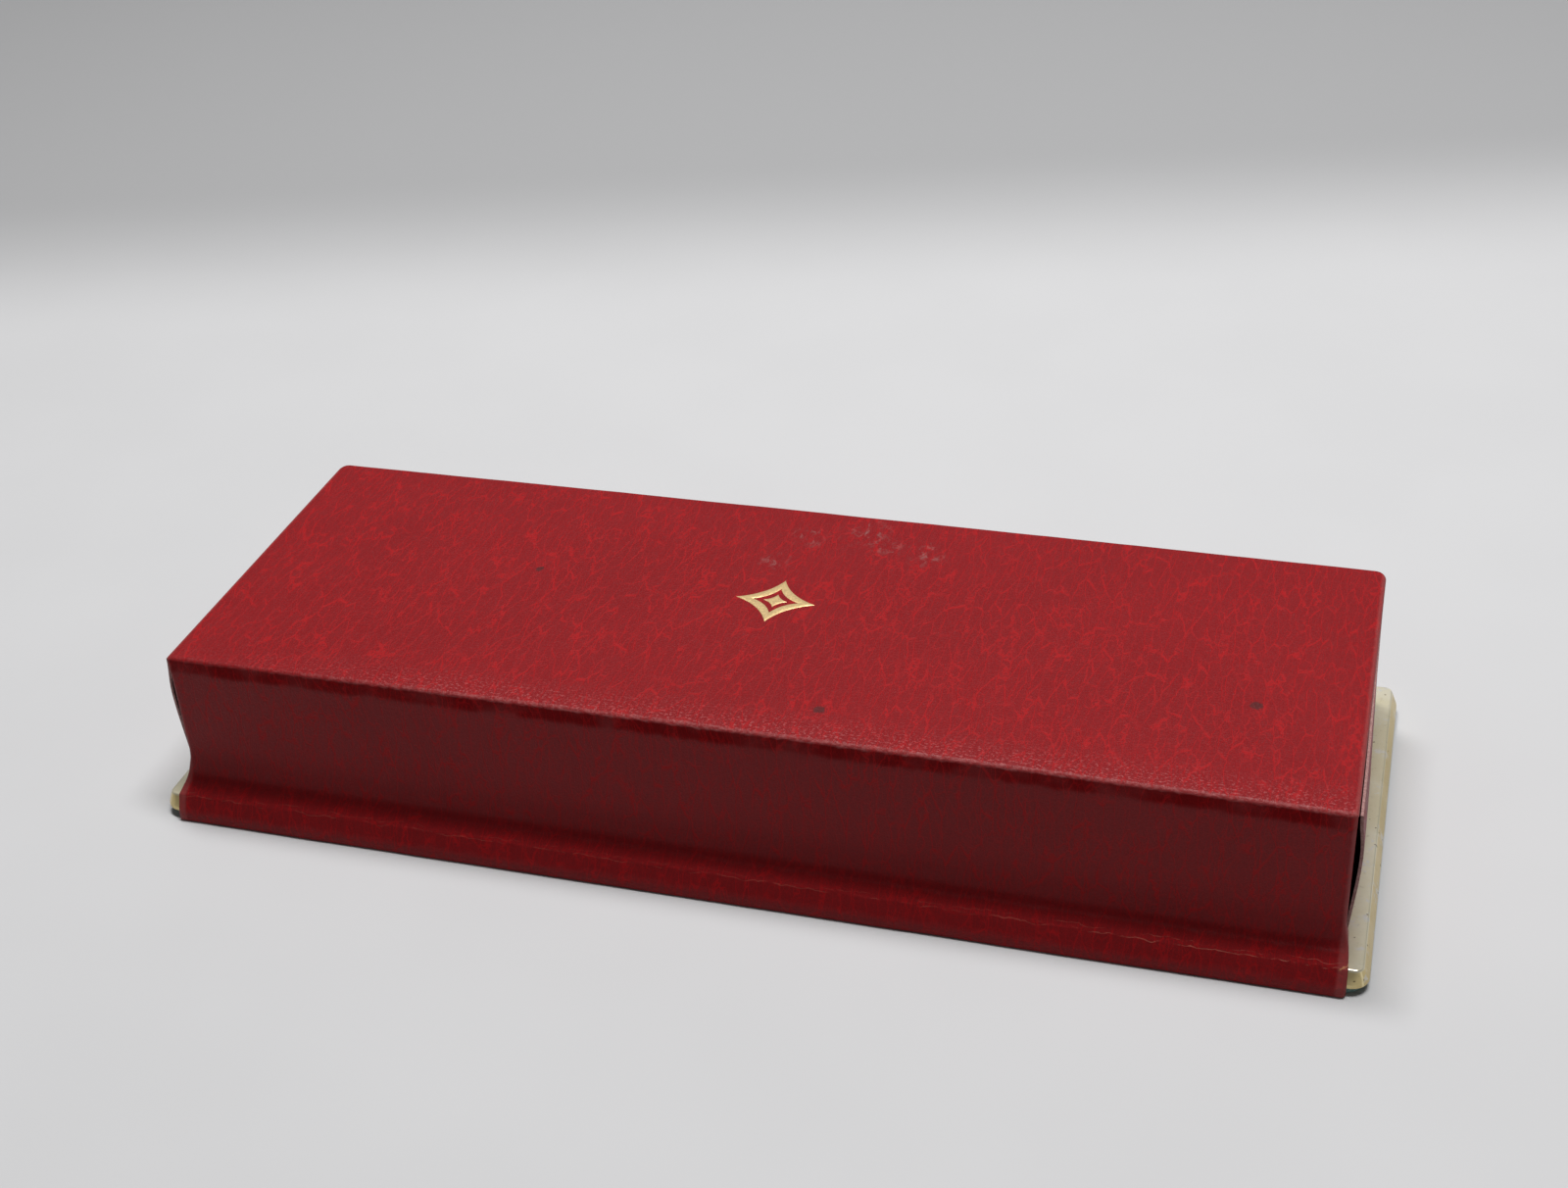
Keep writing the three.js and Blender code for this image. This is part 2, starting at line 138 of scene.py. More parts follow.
def sweep(name, rings, closed_path=False, inside_range=None):
    """Joins equal closed rings into one closed solid, capped at both ends unless the path is closed.

    With an inside_range, the faces at those places round the ring and the caps take the second material slot.
    """
    count = len(rings[0])
    points = [point for ring in rings for point in ring]
    faces, inner = [], []
    steps = len(rings) if closed_path else len(rings) - 1
    for i in range(steps):
        here, after = i * count, ((i + 1) % len(rings)) * count
        for j in range(count):
            k = (j + 1) % count
            faces.append((here + j, here + k, after + k, after + j))
            inner.append(inside_range is not None and inside_range[0] <= j < inside_range[1])
    if not closed_path:
        faces.append(tuple(reversed(range(count))))
        faces.append(tuple(range(len(points) - count, len(points))))
        inner += [inside_range is not None] * 2
    obj = mesh_object(name, points, faces)
    if inside_range is not None:
        for polygon, is_inner in zip(obj.data.polygons, inner):
            polygon.material_index = int(is_inner)
    outward(obj)
    return obj


def sheet_sweep(name, rings, inside_range=None):
    """A sweep of rings of (point, uv) pairs, all in millimetres."""
    obj = sweep(name, [[point for point, _ in ring] for ring in rings], inside_range=inside_range)
    set_uv(obj, [uv for ring in rings for _, uv in ring])
    return obj


def outward(obj):
    """Turns the faces out if the closed mesh is inside out."""
    mesh = obj.data
    volume = 0.0
    mesh.calc_loop_triangles()
    for triangle in mesh.loop_triangles:
        a, b, c = (mesh.vertices[i].co for i in triangle.vertices)
        volume += a.dot(b.cross(c))
    if volume < 0:
        mesh.flip_normals()


def filleted(corners, arc_step=0.25, line_step=2.5):
    """Points along a polyline of (a, b, radius) corners, each rounded to its radius."""
    flat = [Vector((a, b)) for a, b, _ in corners]
    path = [flat[0]]
    for i in range(1, len(corners) - 1):
        before, here, after = flat[i - 1], flat[i], flat[i + 1]
        radius = corners[i][2]
        to_before, to_after = (before - here).normalized(), (after - here).normalized()
        half_angle = to_before.angle(to_after) / 2
        reach = radius / math.tan(half_angle)
        start, stop = here + to_before * reach, here + to_after * reach
        centre = here + (to_before + to_after).normalized() * (radius / math.sin(half_angle))
        path.append(start)
        a0 = math.atan2(*(start - centre).yx)
        turn = (math.atan2(*(stop - centre).yx) - a0 + math.pi) % FULL_TURN - math.pi
        steps = max(3, round(abs(turn) * radius / arc_step))
        for k in range(1, steps + 1):
            a = a0 + turn * k / steps
            path.append(centre + radius * Vector((math.cos(a), math.sin(a))))
    path.append(flat[-1])
    dense = [path[0]]
    for point in path[1:]:
        last = dense[-1]
        length = (point - last).length
        if length < 1e-6:
            continue
        steps = max(1, math.ceil(length / line_step))
        dense += [last.lerp(point, k / steps) for k in range(1, steps + 1)]
    return [(p.x, p.y) for p in dense]


def path_normals(path):
    """Unit normals of an open path of (a, b) points, on its left side."""
    array = np.array(path, float)
    tangent = np.gradient(array, axis=0)
    tangent /= np.linalg.norm(tangent, axis=1)[:, None]
    return np.stack([-tangent[:, 1], tangent[:, 0]], axis=1)


def lengths_along(path):
    array = np.array(path, float)
    steps = np.linalg.norm(np.diff(array, axis=0), axis=1)
    return np.concatenate([[0.0], np.cumsum(steps)])


def smoothstep(value, low, high):
    t = min(1.0, max(0.0, (value - low) / (high - low)))
    return t * t * (3 - 2 * t)


def wobble(x, y, z, scale):
    """Smooth noise from -1 to 1 whose features are about scale millimetres across."""
    return noise.noise(Vector((x / scale, y / scale, z / scale)))


# ---- shader helpers

class Nodes:
    """A material and a short way to write its tree: a call adds a node and returns its output socket."""

    def __init__(self, name):
        self.material = bpy.data.materials.new(name)
        self.material.use_nodes = True
        self.tree = self.material.node_tree
        self.tree.nodes.clear()

    def add(self, kind, inputs, **settings):
        """A new node. Each input, by name or number, is a socket to link or a value."""
        node = self.tree.nodes.new(kind)
        configure(node, **settings)
        for key, value in inputs.items():
            if isinstance(value, bpy.types.NodeSocket):
                self.tree.links.new(value, node.inputs[key])
            else:
                node.inputs[key].default_value = value
        return node

    def math(self, operation, *values):
        return self.add("ShaderNodeMath", dict(enumerate(values)), operation=operation).outputs[0]

    def plus(self, a, b):
        return self.math("ADD", a, b)

    def minus(self, a, b):
        return self.math("SUBTRACT", a, b)

    def times(self, first, *others):
        for other in others:
            first = self.math("MULTIPLY", first, other)
        return first

    def vector(self, operation, a, b):
        return self.add("ShaderNodeVectorMath", {0: a, 1: b}, operation=operation).outputs[0]

    def ramp(self, value, low, high, out_low=0.0, out_high=1.0):
        """A smooth, clamped change from out_low at low to out_high at high."""
        inputs = {
            "Value": value, "From Min": low, "From Max": high, "To Min": out_low, "To Max": out_high,
        }
        return self.add("ShaderNodeMapRange", inputs, interpolation_type="SMOOTHSTEP").outputs["Result"]

    def mix(self, factor, a, b):
        """Two colours mixed, each a socket or 0-255 display values."""
        a, b = (c if isinstance(c, bpy.types.NodeSocket) else colour(*c) for c in (a, b))
        return self.add("ShaderNodeMix", {"Factor": factor, 6: a, 7: b}, data_type="RGBA").outputs[2]

    def tint(self, base, mask, strength, other):
        """The base mixed with another colour by a mask times a strength."""
        return self.mix(self.times(mask, strength), base, other)

    def noise(self, vector, scale, detail=2.0, roughness=0.5, output="Fac"):
        inputs = {"Vector": vector, "Scale": scale, "Detail": detail, "Roughness": roughness}
        return self.add("ShaderNodeTexNoise", inputs).outputs[output]

    def cells(self, vector, scale, feature="DISTANCE_TO_EDGE"):
        inputs = {"Vector": vector, "Scale": scale}
        return self.add("ShaderNodeTexVoronoi", inputs, feature=feature).outputs["Distance"]

    def bands(self, vector, scale, distortion=0.0, direction="X"):
        inputs = {"Vector": vector, "Scale": scale, "Distortion": distortion}
        node = self.add("ShaderNodeTexWave", inputs, wave_type="BANDS", bands_direction=direction)
        return node.outputs["Fac"]

    def scaled(self, vector, x, y, z):
        return self.vector("MULTIPLY", vector, (x, y, z))

    def shifted(self, vector, amount, scale):
        """The vector moved about by noise, by amount at most, in features of 1 / scale."""
        offset = self.vector("SUBTRACT", self.noise(vector, scale, output="Color"), (0.5, 0.5, 0.5))
        return self.vector("ADD", vector, self.scaled(offset, 2 * amount, 2 * amount, 2 * amount))

    def bump(self, height, distance_mm, strength=1.0):
        inputs = {"Height": height, "Distance": distance_mm * MM, "Strength": strength}
        return self.add("ShaderNodeBump", inputs).outputs[0]

    def object_mm(self):
        """Object coordinates in millimetres."""
        return self.scaled(self.add("ShaderNodeTexCoord", {}).outputs["Object"], 1 / MM, 1 / MM, 1 / MM)

    def sheet_mm(self):
        """The sheet's own flat coordinates in millimetres."""
        node = self.add("ShaderNodeUVMap", {}, uv_map="sheet")
        return self.scaled(node.outputs["UV"], 1 / MM, 1 / MM, 1 / MM)

    def parts(self, vector):
        return self.add("ShaderNodeSeparateXYZ", {0: vector}).outputs

    def surface(self, **values):
        """Ends the tree in a principled shader with these inputs, and returns the material."""
        inputs = {name.replace("_", " "): value for name, value in values.items()}
        shader = self.add("ShaderNodeBsdfPrincipled", inputs)
        self.add("ShaderNodeOutputMaterial", {"Surface": shader.outputs[0]})
        return self.material


def colour(red, green, blue):
    """A linear colour from 0-255 display values."""
    def linear(value):
        v = value / 255
        return v / 12.92 if v <= 0.04045 else ((v + 0.055) / 1.055) ** 2.4
    return (linear(red), linear(green), linear(blue), 1.0)


# ---- leather

# Marks on the lid's top, in millimetres: x from the middle, distance along the sheet from the ridge, size
SCUFFS = ((2, 63, 5), (6, 53, 4), (-22, 61, 6), (-9, 66, 7), (-14, 62, 4))
DARK_SPOTS = ((-15.4, 8.5, 1.1), (48.5, 41.5, 0.9), (-86.5, 25.5, 1.3))


def near_point(n, vector, x, y, radius):
    """1 at a point of the sheet, falling to 0 at the radius."""
    offset = n.vector("SUBTRACT", vector, (x, y, 0))
    distance = n.add("ShaderNodeVectorMath", {0: offset}, operation="LENGTH").outputs["Value"]
    return n.ramp(distance, radius, 0.0)


def strongest(n, values):
    total = values[0]
    for value in values[1:]:
        total = n.math("MAXIMUM", total, value)
    return total


def thin_line(n, place, half_width):
    """1 where place is 0, falling to 0 at half_width either side."""
    return n.ramp(n.math("ABSOLUTE", place), half_width, 0.0)


def leather_grain(n, sheet):
    """Vein mask and height of the crackle grain, which runs along the sheet's second axis."""
    flow = n.shifted(sheet, 2.2, 0.045)
    flow = n.shifted(flow, 0.35, 0.4)
    crinkled = n.shifted(flow, 0.13, 1.7)
    wide = n.cells(n.scaled(crinkled, 0.55, 0.09, 1), 1.0)
    fine = n.cells(n.scaled(crinkled, 1.15, 0.28, 1), 1.0)
    tiny = n.cells(n.scaled(crinkled, 2.4, 1.5, 1), 1.0)
    broken = n.ramp(n.noise(n.scaled(flow, 0.45, 0.16, 1), 1.0, detail=2), 0.32, 0.58, 0.3, 1.0)
    patch = n.ramp(n.noise(sheet, 0.08), 0.4, 0.64, 0.3, 0.75)
    wide_vein = n.times(n.ramp(wide, 0.067, 0.0), broken)
    fine_vein = n.times(n.ramp(fine, 0.082, 0.0), patch, broken)
    tiny_vein = n.ramp(tiny, 0.14, 0.02)
    veins = n.math("MAXIMUM", wide_vein, fine_vein)
    pebble = n.noise(sheet, 2.4, detail=3, roughness=0.6)
    height = n.minus(n.times(pebble, 0.35), n.times(veins, 0.3))
    height = n.minus(height, n.times(tiny_vein, 0.16))
    return veins, tiny_vein, height, pebble


def leather_material(name, cover_crease=None):
    """Red embossed leather.

    The cover's own marks are added when cover_crease gives the hinge crease's place along the sheet, in
    millimetres from the ridge.
    """
    n = Nodes(name)
    sheet = n.sheet_mm()
    veins, tiny, height, pebble = leather_grain(n, sheet)
    cloudy = n.ramp(n.noise(sheet, 0.035, detail=3), 0.3, 0.7)
    plateau = n.mix(cloudy, (119, 15, 20), (124, 17, 22))
    plateau = n.mix(n.ramp(pebble, 0.35, 0.65, 0.0, 0.35), plateau, (104, 14, 19))
    plateau = n.mix(n.times(tiny, 0.4), plateau, (140, 12, 16))
    base = n.mix(n.times(veins, 0.72), plateau, (162, 13, 18))
    rough = n.plus(n.ramp(pebble, 0.3, 0.7, 0.36, 0.5), n.times(veins, 0.2))
    if cover_crease is not None:
        base, rough = ridge_marks(n, sheet, veins, base, rough)
        base, rough, height = crease_marks(n, sheet, cover_crease, base, rough, height)
        base = worn_ends(n, sheet, base)
        base, rough = top_marks(n, sheet, base, rough)
    normal = n.bump(height, 0.11, 0.9)
    return n.surface(Base_Color=base, Roughness=rough, Specular_IOR_Level=0.16, Normal=normal)


def ridge_marks(n, sheet, veins, base, rough):
    """A dull band under the ridge darkened to deep red as painted shade, a crest rubbed paler with a painted
    highlight, and painted glints on the pebbles in front of it.
    """
    along = n.parts(sheet)
    ragged = n.math("MULTIPLY_ADD", n.noise(n.scaled(sheet, 1, 0.4, 1), 0.45), 1.0, -0.5)
    place = n.plus(along["Y"], ragged)
    cloudy = n.ramp(n.noise(sheet, 0.12, detail=3), 0.3, 0.6, 0.6, 1.0)
    # painted shade: the band under the ridge is darkened toward deep red where it would catch less sheen, and
    # made duller
    band = n.times(n.ramp(place, -4.3, -2.1), n.ramp(place, -0.1, -0.5), cloudy)
    deep = n.mix(n.times(veins, 0.7), (108, 2, 6), (158, 8, 12))
    base = n.mix(n.times(band, 0.9), base, deep)
    rough = n.math("MAXIMUM", rough, band)

    # how strong the painted highlights on the crest and the pebbles are along the ridge, weaker toward the +X
    # end
    highlight_along_ridge = n.ramp(along["X"], 96.0, 45.0, 0.25, 1.0)
    pebbly = n.ramp(n.noise(n.scaled(sheet, 1.0, 1.4, 1), 1.6, detail=4, roughness=0.7), 0.53, 0.62)
    # painted highlight: pale pink glints on the pebble peaks near the ridge, in the colour only
    painted_glints = n.times(pebbly, n.ramp(along["Y"], 9.0, 0.4), n.ramp(place, -0.3, 0.2), highlight_along_ridge)
    base = n.tint(base, painted_glints, 0.6, (170, 92, 92))
    # the crest is rubbed paler and also carries a painted highlight along the ridge
    worn = n.ramp(n.noise(n.scaled(sheet, 0.5, 1.4, 1), 1.6, detail=4), 0.42, 0.62)
    worn = n.math("MULTIPLY_ADD", worn, 0.5, 0.25)
    crest = n.times(n.ramp(place, -0.55, -0.05), n.ramp(place, 0.7, 0.15), worn)
    base = n.tint(base, crest, highlight_along_ridge, (158, 84, 84))
    return base, rough


def crease_marks(n, sheet, crease, base, rough, height):
    """Pale lines along the hinge crease, cracks and a painted highlight on the fold, plainer toward its torn
    end, and the small tear there.
    """
    along = n.parts(sheet)
    ragged = n.math("MULTIPLY_ADD", n.noise(sheet, 0.3, detail=3), 2.0, -1.0)
    place = n.plus(n.minus(along["Y"], crease), ragged)
    second = thin_line(n, n.minus(place, 0.8), 0.1)
    lines = n.math("MAXIMUM", thin_line(n, place, 0.14), n.times(second, 0.6))
    crumple = n.ramp(n.noise(n.scaled(sheet, 0.3, 1.6, 1), 0.6, detail=4, roughness=0.65), 0.44, 0.58)
    lines = n.times(lines, crumple, n.ramp(along["X"], -40.0, -100.0, 0.3, 1.0))
    # pale crease lines: cracks in the leather and a painted highlight along the fold
    base = n.tint(base, lines, 0.7, (190, 112, 96))
    height = n.minus(height, n.times(lines, 0.5))

    near_tear = near_point(n, n.shifted(sheet, 0.5, 0.9), -STRIP_HALF, crease + 1.2, 2.6)
    slant = n.math("MULTIPLY_ADD", along["X"], -0.9, -0.9 * STRIP_HALF)
    tear_place = n.minus(n.minus(along["Y"], crease + 0.6), slant)
    tear_place = n.plus(tear_place, n.math("MULTIPLY_ADD", n.noise(sheet, 1.1), 1.2, -0.6))
    tear = n.times(thin_line(n, tear_place, 0.3), n.ramp(near_tear, 0.05, 0.4))
    base = n.mix(tear, base, (214, 150, 100))
    flexed = n.ramp(n.math("ABSOLUTE", place), 4.2, 2.2, 0.0, 0.85)
    return base, n.math("MAXIMUM", rough, flexed), height


def worn_ends(n, sheet, base):
    """The turned edges at the cover's two ends, rubbed paler."""
    reach = n.math("ABSOLUTE", n.parts(sheet)["X"])
    reach = n.plus(reach, n.times(n.noise(sheet, 0.8, detail=3), 0.5))
    rubbed = n.ramp(reach, LID_HALF - 0.75, LID_HALF - 0.1)
    return n.mix(n.times(rubbed, 0.45), base, (150, 78, 76))


def top_marks(n, sheet, base, rough):
    """Grey scuffs near the lid's front edge and a few dark spots."""
    smear = n.shifted(sheet, 2.2, 0.35)
    patches = strongest(n, [near_point(n, smear, x, y, size) for x, y, size in SCUFFS])
    streaks = n.ramp(n.noise(n.scaled(smear, 1.0, 0.35, 1), 0.75, detail=5, roughness=0.7), 0.5, 0.66)
    scuff = n.times(patches, streaks)
    base = n.tint(base, scuff, 0.5, (138, 108, 104))
    rough = n.plus(rough, n.times(scuff, 0.2))
    blot = n.shifted(sheet, 0.5, 1.2)
    spots = strongest(n, [near_point(n, blot, x, y, size * 1.6) for x, y, size in DARK_SPOTS])
    base = n.mix(n.times(n.ramp(spots, 0.25, 0.6), 0.75), base, (62, 32, 32))
    return base, rough


def fibre_material(name, dark, light, flatten, scale, specular):
    """Matted leather fibre, flatten times finer upwards than along."""
    n = Nodes(name)
    fibre = n.noise(n.scaled(n.object_mm(), 1, 1, flatten), scale, detail=5, roughness=0.7)
    base = n.mix(n.ramp(fibre, 0.35, 0.7), dark, light)
    return n.surface(
        Base_Color=base, Roughness=0.9, Specular_IOR_Level=specular, Normal=n.bump(fibre, 0.05),
    )


def backing_material():
    """The black glued-on backing of the leather."""
    return fibre_material("leather_backing", (14, 11, 12), (34, 26, 26), 4, 1.4, 0.15)


def cut_edge_material():
    """The leather's pale raw edge."""
    return fibre_material("leather_cut_edge", (134, 98, 95), (174, 136, 131), 1, 2.2, 0.2)


# ---- other materials

def gilt_material():
    """Pale gilt on pressed brass: tarnish, fine pits, silvery rubbed spots, painted shade on the bevel and a
    painted highlight along the mitres.
    """
    n = Nodes("aged_gilt")
    place = n.object_mm()
    cloud = n.ramp(n.noise(place, 0.09, detail=4, roughness=0.6), 0.35, 0.65)
    base = n.mix(cloud, (226, 220, 197), (211, 203, 173))
    bevel = n.ramp(n.parts(place)["Z"], PAN_FLANGE - 0.1, PAN_FLANGE - 0.5)
    # painted shade: the bevel below the flange is tinted a darker, yellower gold
    base = n.tint(base, bevel, 0.7, (204, 180, 112))
    uneven = n.parts(n.shifted(place, 0.25, 1.2))
    beyond_x = n.minus(n.math("ABSOLUTE", uneven["X"]), PAN_HIGH[0])
    off_middle = n.minus(uneven["Y"], (PAN_LOW[1] + PAN_HIGH[1]) / 2)
    beyond_y = n.minus(n.math("ABSOLUTE", off_middle), (PAN_HIGH[1] - PAN_LOW[1]) / 2)
    mitre_highlight = n.times(thin_line(n, n.minus(beyond_x, beyond_y), 0.5), bevel)
    rubbed = n.ramp(n.noise(n.shifted(place, 1.5, 0.4), 0.28, detail=5, roughness=0.7), 0.57, 0.64)
    base = n.tint(base, rubbed, 0.65, (214, 214, 214))
    grime = n.ramp(n.noise(place, 0.7, detail=6, roughness=0.75), 0.56, 0.74)
    base = n.tint(base, grime, 0.4, (134, 118, 74))
    pit_centre = n.cells(n.shifted(place, 0.3, 1.0), 0.6, feature="F1")
    pit_size = n.ramp(n.noise(place, 0.5), 0.45, 0.75, 0.0, 0.16)
    pits = n.ramp(n.minus(pit_centre, pit_size), 0.05, 0.0)
    base = n.tint(base, pits, 0.75, (78, 62, 36))
    # painted highlight: a pale gold streak along each mitre of the bevel
    base = n.tint(base, mitre_highlight, 0.85, (250, 236, 188))
    hairline = n.ramp(n.noise(n.scaled(place, 0.05, 5, 5), 1.0, detail=3), 0.62, 0.7)
    rough = n.plus(n.ramp(cloud, 0, 1, 0.3, 0.4), n.times(pits, 0.3))
    rough = n.plus(rough, n.times(hairline, 0.08))
    relief = n.minus(n.noise(place, 0.5, detail=3), n.times(pits, 0.6))
    metal = n.ramp(n.math("MAXIMUM", pits, n.times(grime, 0.4)), 0, 1, 0.56, 0.3)
    metal = n.math("MULTIPLY_ADD", bevel, 0.33, metal)
    return n.surface(Base_Color=base, Metallic=metal, Roughness=rough, Normal=n.bump(relief, 0.05, 0.8))


def foil_material():
    """Stamped gold foil, rubbed thin where the grain stands up."""
    n = Nodes("stamped_foil")
    place = n.object_mm()
    crackle = n.cells(n.scaled(n.shifted(place, 0.3, 1.2), 1.2, 0.5, 1), 1.0)
    worn = n.ramp(n.noise(place, 1.6, detail=5, roughness=0.7), 0.6, 0.74)
    gaps = n.math("MAXIMUM", worn, n.times(n.ramp(crackle, 0.05, 0.01), 0.5))
    base = n.mix(n.noise(place, 0.4, detail=3), (226, 198, 146), (212, 182, 126))
    base = n.tint(base, gaps, 0.6, (128, 60, 44))
    metal = n.ramp(gaps, 0, 1, 0.6, 0.1)
    rough = n.ramp(n.noise(place, 2.4, detail=3), 0.3, 0.7, 0.34, 0.5)
    return n.surface(Base_Color=base, Metallic=metal, Roughness=rough, Normal=n.bump(crackle, 0.05, 0.6))


def felt_material(name, dark, light):
    """Matted felt or baize."""
    n = Nodes(name)
    place = n.object_mm()
    fibres = n.noise(n.shifted(place, 0.6, 1.1), 2.2, detail=6, roughness=0.75)
    tufts = n.noise(place, 0.5, detail=3)
    base = n.mix(n.ramp(n.plus(fibres, n.times(tufts, 0.4)), 0.45, 0.9), dark, light)
    return n.surface(
        Base_Color=base, Roughness=0.95, Sheen_Weight=0.4, Sheen_Roughness=0.6,
        Specular_IOR_Level=0.2, Normal=n.bump(fibres, 0.18),
    )


def velvet_material(name, dark, light):
    """Short-pile velvet with brushed, slightly shaded patches."""
    n = Nodes(name)
    place = n.object_mm()
    pile = n.noise(place, 4.5, detail=3, roughness=0.7)
    strokes = n.noise(n.scaled(n.shifted(place, 5, 0.05), 0.06, 0.12, 0.12), 1.0, detail=4)
    brushed = n.ramp(strokes, 0.35, 0.65)
    base = n.mix(brushed, dark, light)
    base = n.mix(n.ramp(pile, 0.3, 0.55, 0.35, 0.0), base, n.mix(0.5, dark, (90, 78, 60)))
    return n.surface(
        Base_Color=base, Roughness=0.9, Sheen_Weight=0.8, Sheen_Roughness=0.35,
        Specular_IOR_Level=0.15, Normal=n.bump(pile, 0.12, 0.8),
    )


def satin_material():
    """Ivory satin: fine threads, long soft highlights and a little yellowing."""
    n = Nodes("ivory_satin")
    place = n.object_mm()
    warp = n.bands(n.shifted(place, 0.05, 0.6), 1.1, distortion=0.6)
    aged = n.ramp(n.noise(place, 0.03, detail=4), 0.35, 0.7)
    base = n.mix(aged, (230, 220, 198), (220, 206, 178))
    base = n.tint(base, warp, 0.12, (180, 160, 124))
    slub = n.noise(n.scaled(place, 0.25, 6, 6), 1.0, detail=3)
    height = n.plus(n.times(warp, 0.5), slub)
    rough = n.ramp(slub, 0.3, 0.7, 0.32, 0.44)
    return n.surface(
        Base_Color=base, Roughness=rough, Sheen_Weight=0.3, Sheen_Roughness=0.3,
        Anisotropic=0.5, Normal=n.bump(height, 0.03, 0.6),
    )


def board_material(name, dark, light):
    """Pressed grey board with flecks."""
    n = Nodes(name)
    place = n.object_mm()
    fleck = n.noise(place, 1.3, detail=6, roughness=0.8)
    layers = n.noise(n.scaled(place, 0.3, 0.3, 6), 1.0, detail=2)
    base = n.mix(n.ramp(n.plus(fleck, n.times(layers, 0.3)), 0.5, 0.85), dark, light)
    return n.surface(Base_Color=base, Roughness=0.92, Specular_IOR_Level=0.2, Normal=n.bump(fleck, 0.06))


def wood_material():
    """Plain sawn softwood."""
    n = Nodes("sawn_softwood")
    place = n.object_mm()
    long_grain = n.scaled(n.shifted(place, 1.2, 0.04), 0.04, 0.7, 0.7)
    rings = n.noise(long_grain, 1.0, detail=5, roughness=0.65)
    base = n.mix(n.ramp(rings, 0.35, 0.65), (176, 140, 92), (206, 174, 124))
    return n.surface(Base_Color=base, Roughness=0.75, Normal=n.bump(rings, 0.08))


def linen_material():
    """Black bookbinder's linen: a plain weave."""
    n = Nodes("hinge_linen")
    sheet = n.sheet_mm()
    weave = strongest(n, [n.bands(n.shifted(sheet, 0.08, 0.8), 0.55, direction=d) for d in "XY"])
    base = n.mix(weave, (20, 17, 18), (52, 46, 46))
    return n.surface(Base_Color=base, Roughness=0.85, Specular_IOR_Level=0.2, Normal=n.bump(weave, 0.06))


# ---- the leather cover

SHEET = 0.6
SHEET_HEM = 0.25
SHEET_FLOOR = 0.02
EDGE_ROLL = 0.7
HEM_WIDTH = 3.9
BOARD_WRAP = 1.05
TOP_DEPTH = 0.9
SPINE_DEPTH = SPINE_REAR - SPINE_INNER_FACE + 0.3
STRIP_DEPTH = 0.88
LID_CORNER = 2.1
RIDGE_RADIUS = 0.8
WAIST_Y, WAIST_Z = SPINE_REAR + 0.45, SPINE_BOARD_FOOT - 0.5
CREASE_Y, CREASE_Z = STRIP_REAR - 1.4, PAN_FLANGE + 0.7
COVER_SPLIT = 20.0
COVER_COLUMNS = 280


CROWN_EDGE = 0.25
CROWN_BULGE = 0.8
SPINE_INSET = 0.1
STRIP_OVERHANG = 0.3


def crown(x, y):
    """How far the lid's top stands above its corners, in millimetres."""
    across = 1 - min(1.0, (x / LID_HALF) ** 2)
    t = min(1.0, max(0.0, (y - LID_FRONT) / (SPINE_REAR - LID_FRONT)))
    return across * (CROWN_EDGE + CROWN_EDGE * t + CROWN_BULGE * t * (1 - t))


def cover_path():
    """The cover's outer face from the lid's front edge, over the ridge and the hinge, to under the base."""
    path = filleted([
        (LID_FRONT, LID_TOP - TOP_DEPTH, 0),
        (LID_FRONT, LID_TOP, 0.55),
        (SPINE_REAR, LID_TOP, RIDGE_RADIUS),
        (SPINE_REAR, WAIST_Z + 5.0, 14.0),  # the spine's hollow foot
        (WAIST_Y + 0.75, WAIST_Z - 0.1, 2.6),
        (CREASE_Y, CREASE_Z, 0.6),  # the fold on the flange
        (STRIP_REAR, 1.7, 3.0),
        (STRIP_REAR, 0.0, 0.45),
        (STRIP_REAR - 1.9, 0.0, 0),  # the hem glued under the base
    ])
    near_corners = [i for i, point in enumerate(path) if point[0] < LID_FRONT + LID_CORNER]
    last = near_corners[-1]
    (y0, z0), (y1, z1) = path[last], path[last + 1]
    extra = [(y0 + (y1 - y0) * k / 12, z0 + (z1 - z0) * k / 12) for k in range(1, 12)]
    return path[:last + 1] + extra + path[last + 1:]


def cover_half_length(y, z):
    """Half the cover's length at a point of its path."""
    if z > LID_TOP - 2 * TOP_DEPTH and y < LID_FRONT + LID_CORNER:
        reach = LID_FRONT + LID_CORNER - y
        return LID_HALF - LID_CORNER + math.sqrt(max(0.0, LID_CORNER ** 2 - reach ** 2))
    spine_half = LID_HALF - SPINE_INSET
    if y > SPINE_REAR - 0.5 and z < LID_TOP - RIDGE_RADIUS:
        spread = STRIP_HALF + STRIP_OVERHANG - spine_half
        return spine_half + spread * smoothstep(z, WAIST_Z + 4.0, CREASE_Z - 0.6)
    return LID_HALF


def cover_depth(y, z):
    """How far the turned-in ends of the cover reach below its outer face."""
    if y < SPINE_REAR - RIDGE_RADIUS:
        return TOP_DEPTH
    into_spine = smoothstep(z, WAIST_Z + 0.2, WAIST_Z + 1.2) * smoothstep(z, LID_TOP - 0.9, LID_TOP - 2.4)
    return STRIP_DEPTH + (SPINE_DEPTH - STRIP_DEPTH) * into_spine


def cover_waves(x, y, z, from_crease):
    """Small unevenness of the glued sheet, and crumpling where it folds over the flange."""
    soft = 0.07 * wobble(x, y, z, 17) + 0.03 * wobble(x + 40, y, z, 5)
    fold = math.exp(-(from_crease / 1.6) ** 2)
    crumple = 0.16 * wobble(x, 3 * from_crease, 7, 2.6) + 0.1 * wobble(x, from_crease, 31, 9)
    pull = math.exp(-((from_crease + 2.6) / 1.3) ** 2)
    tucks = 0.05 * wobble(x, from_crease * 0.5, 53, 4.2)
    return soft + fold * crumple + pull * tucks


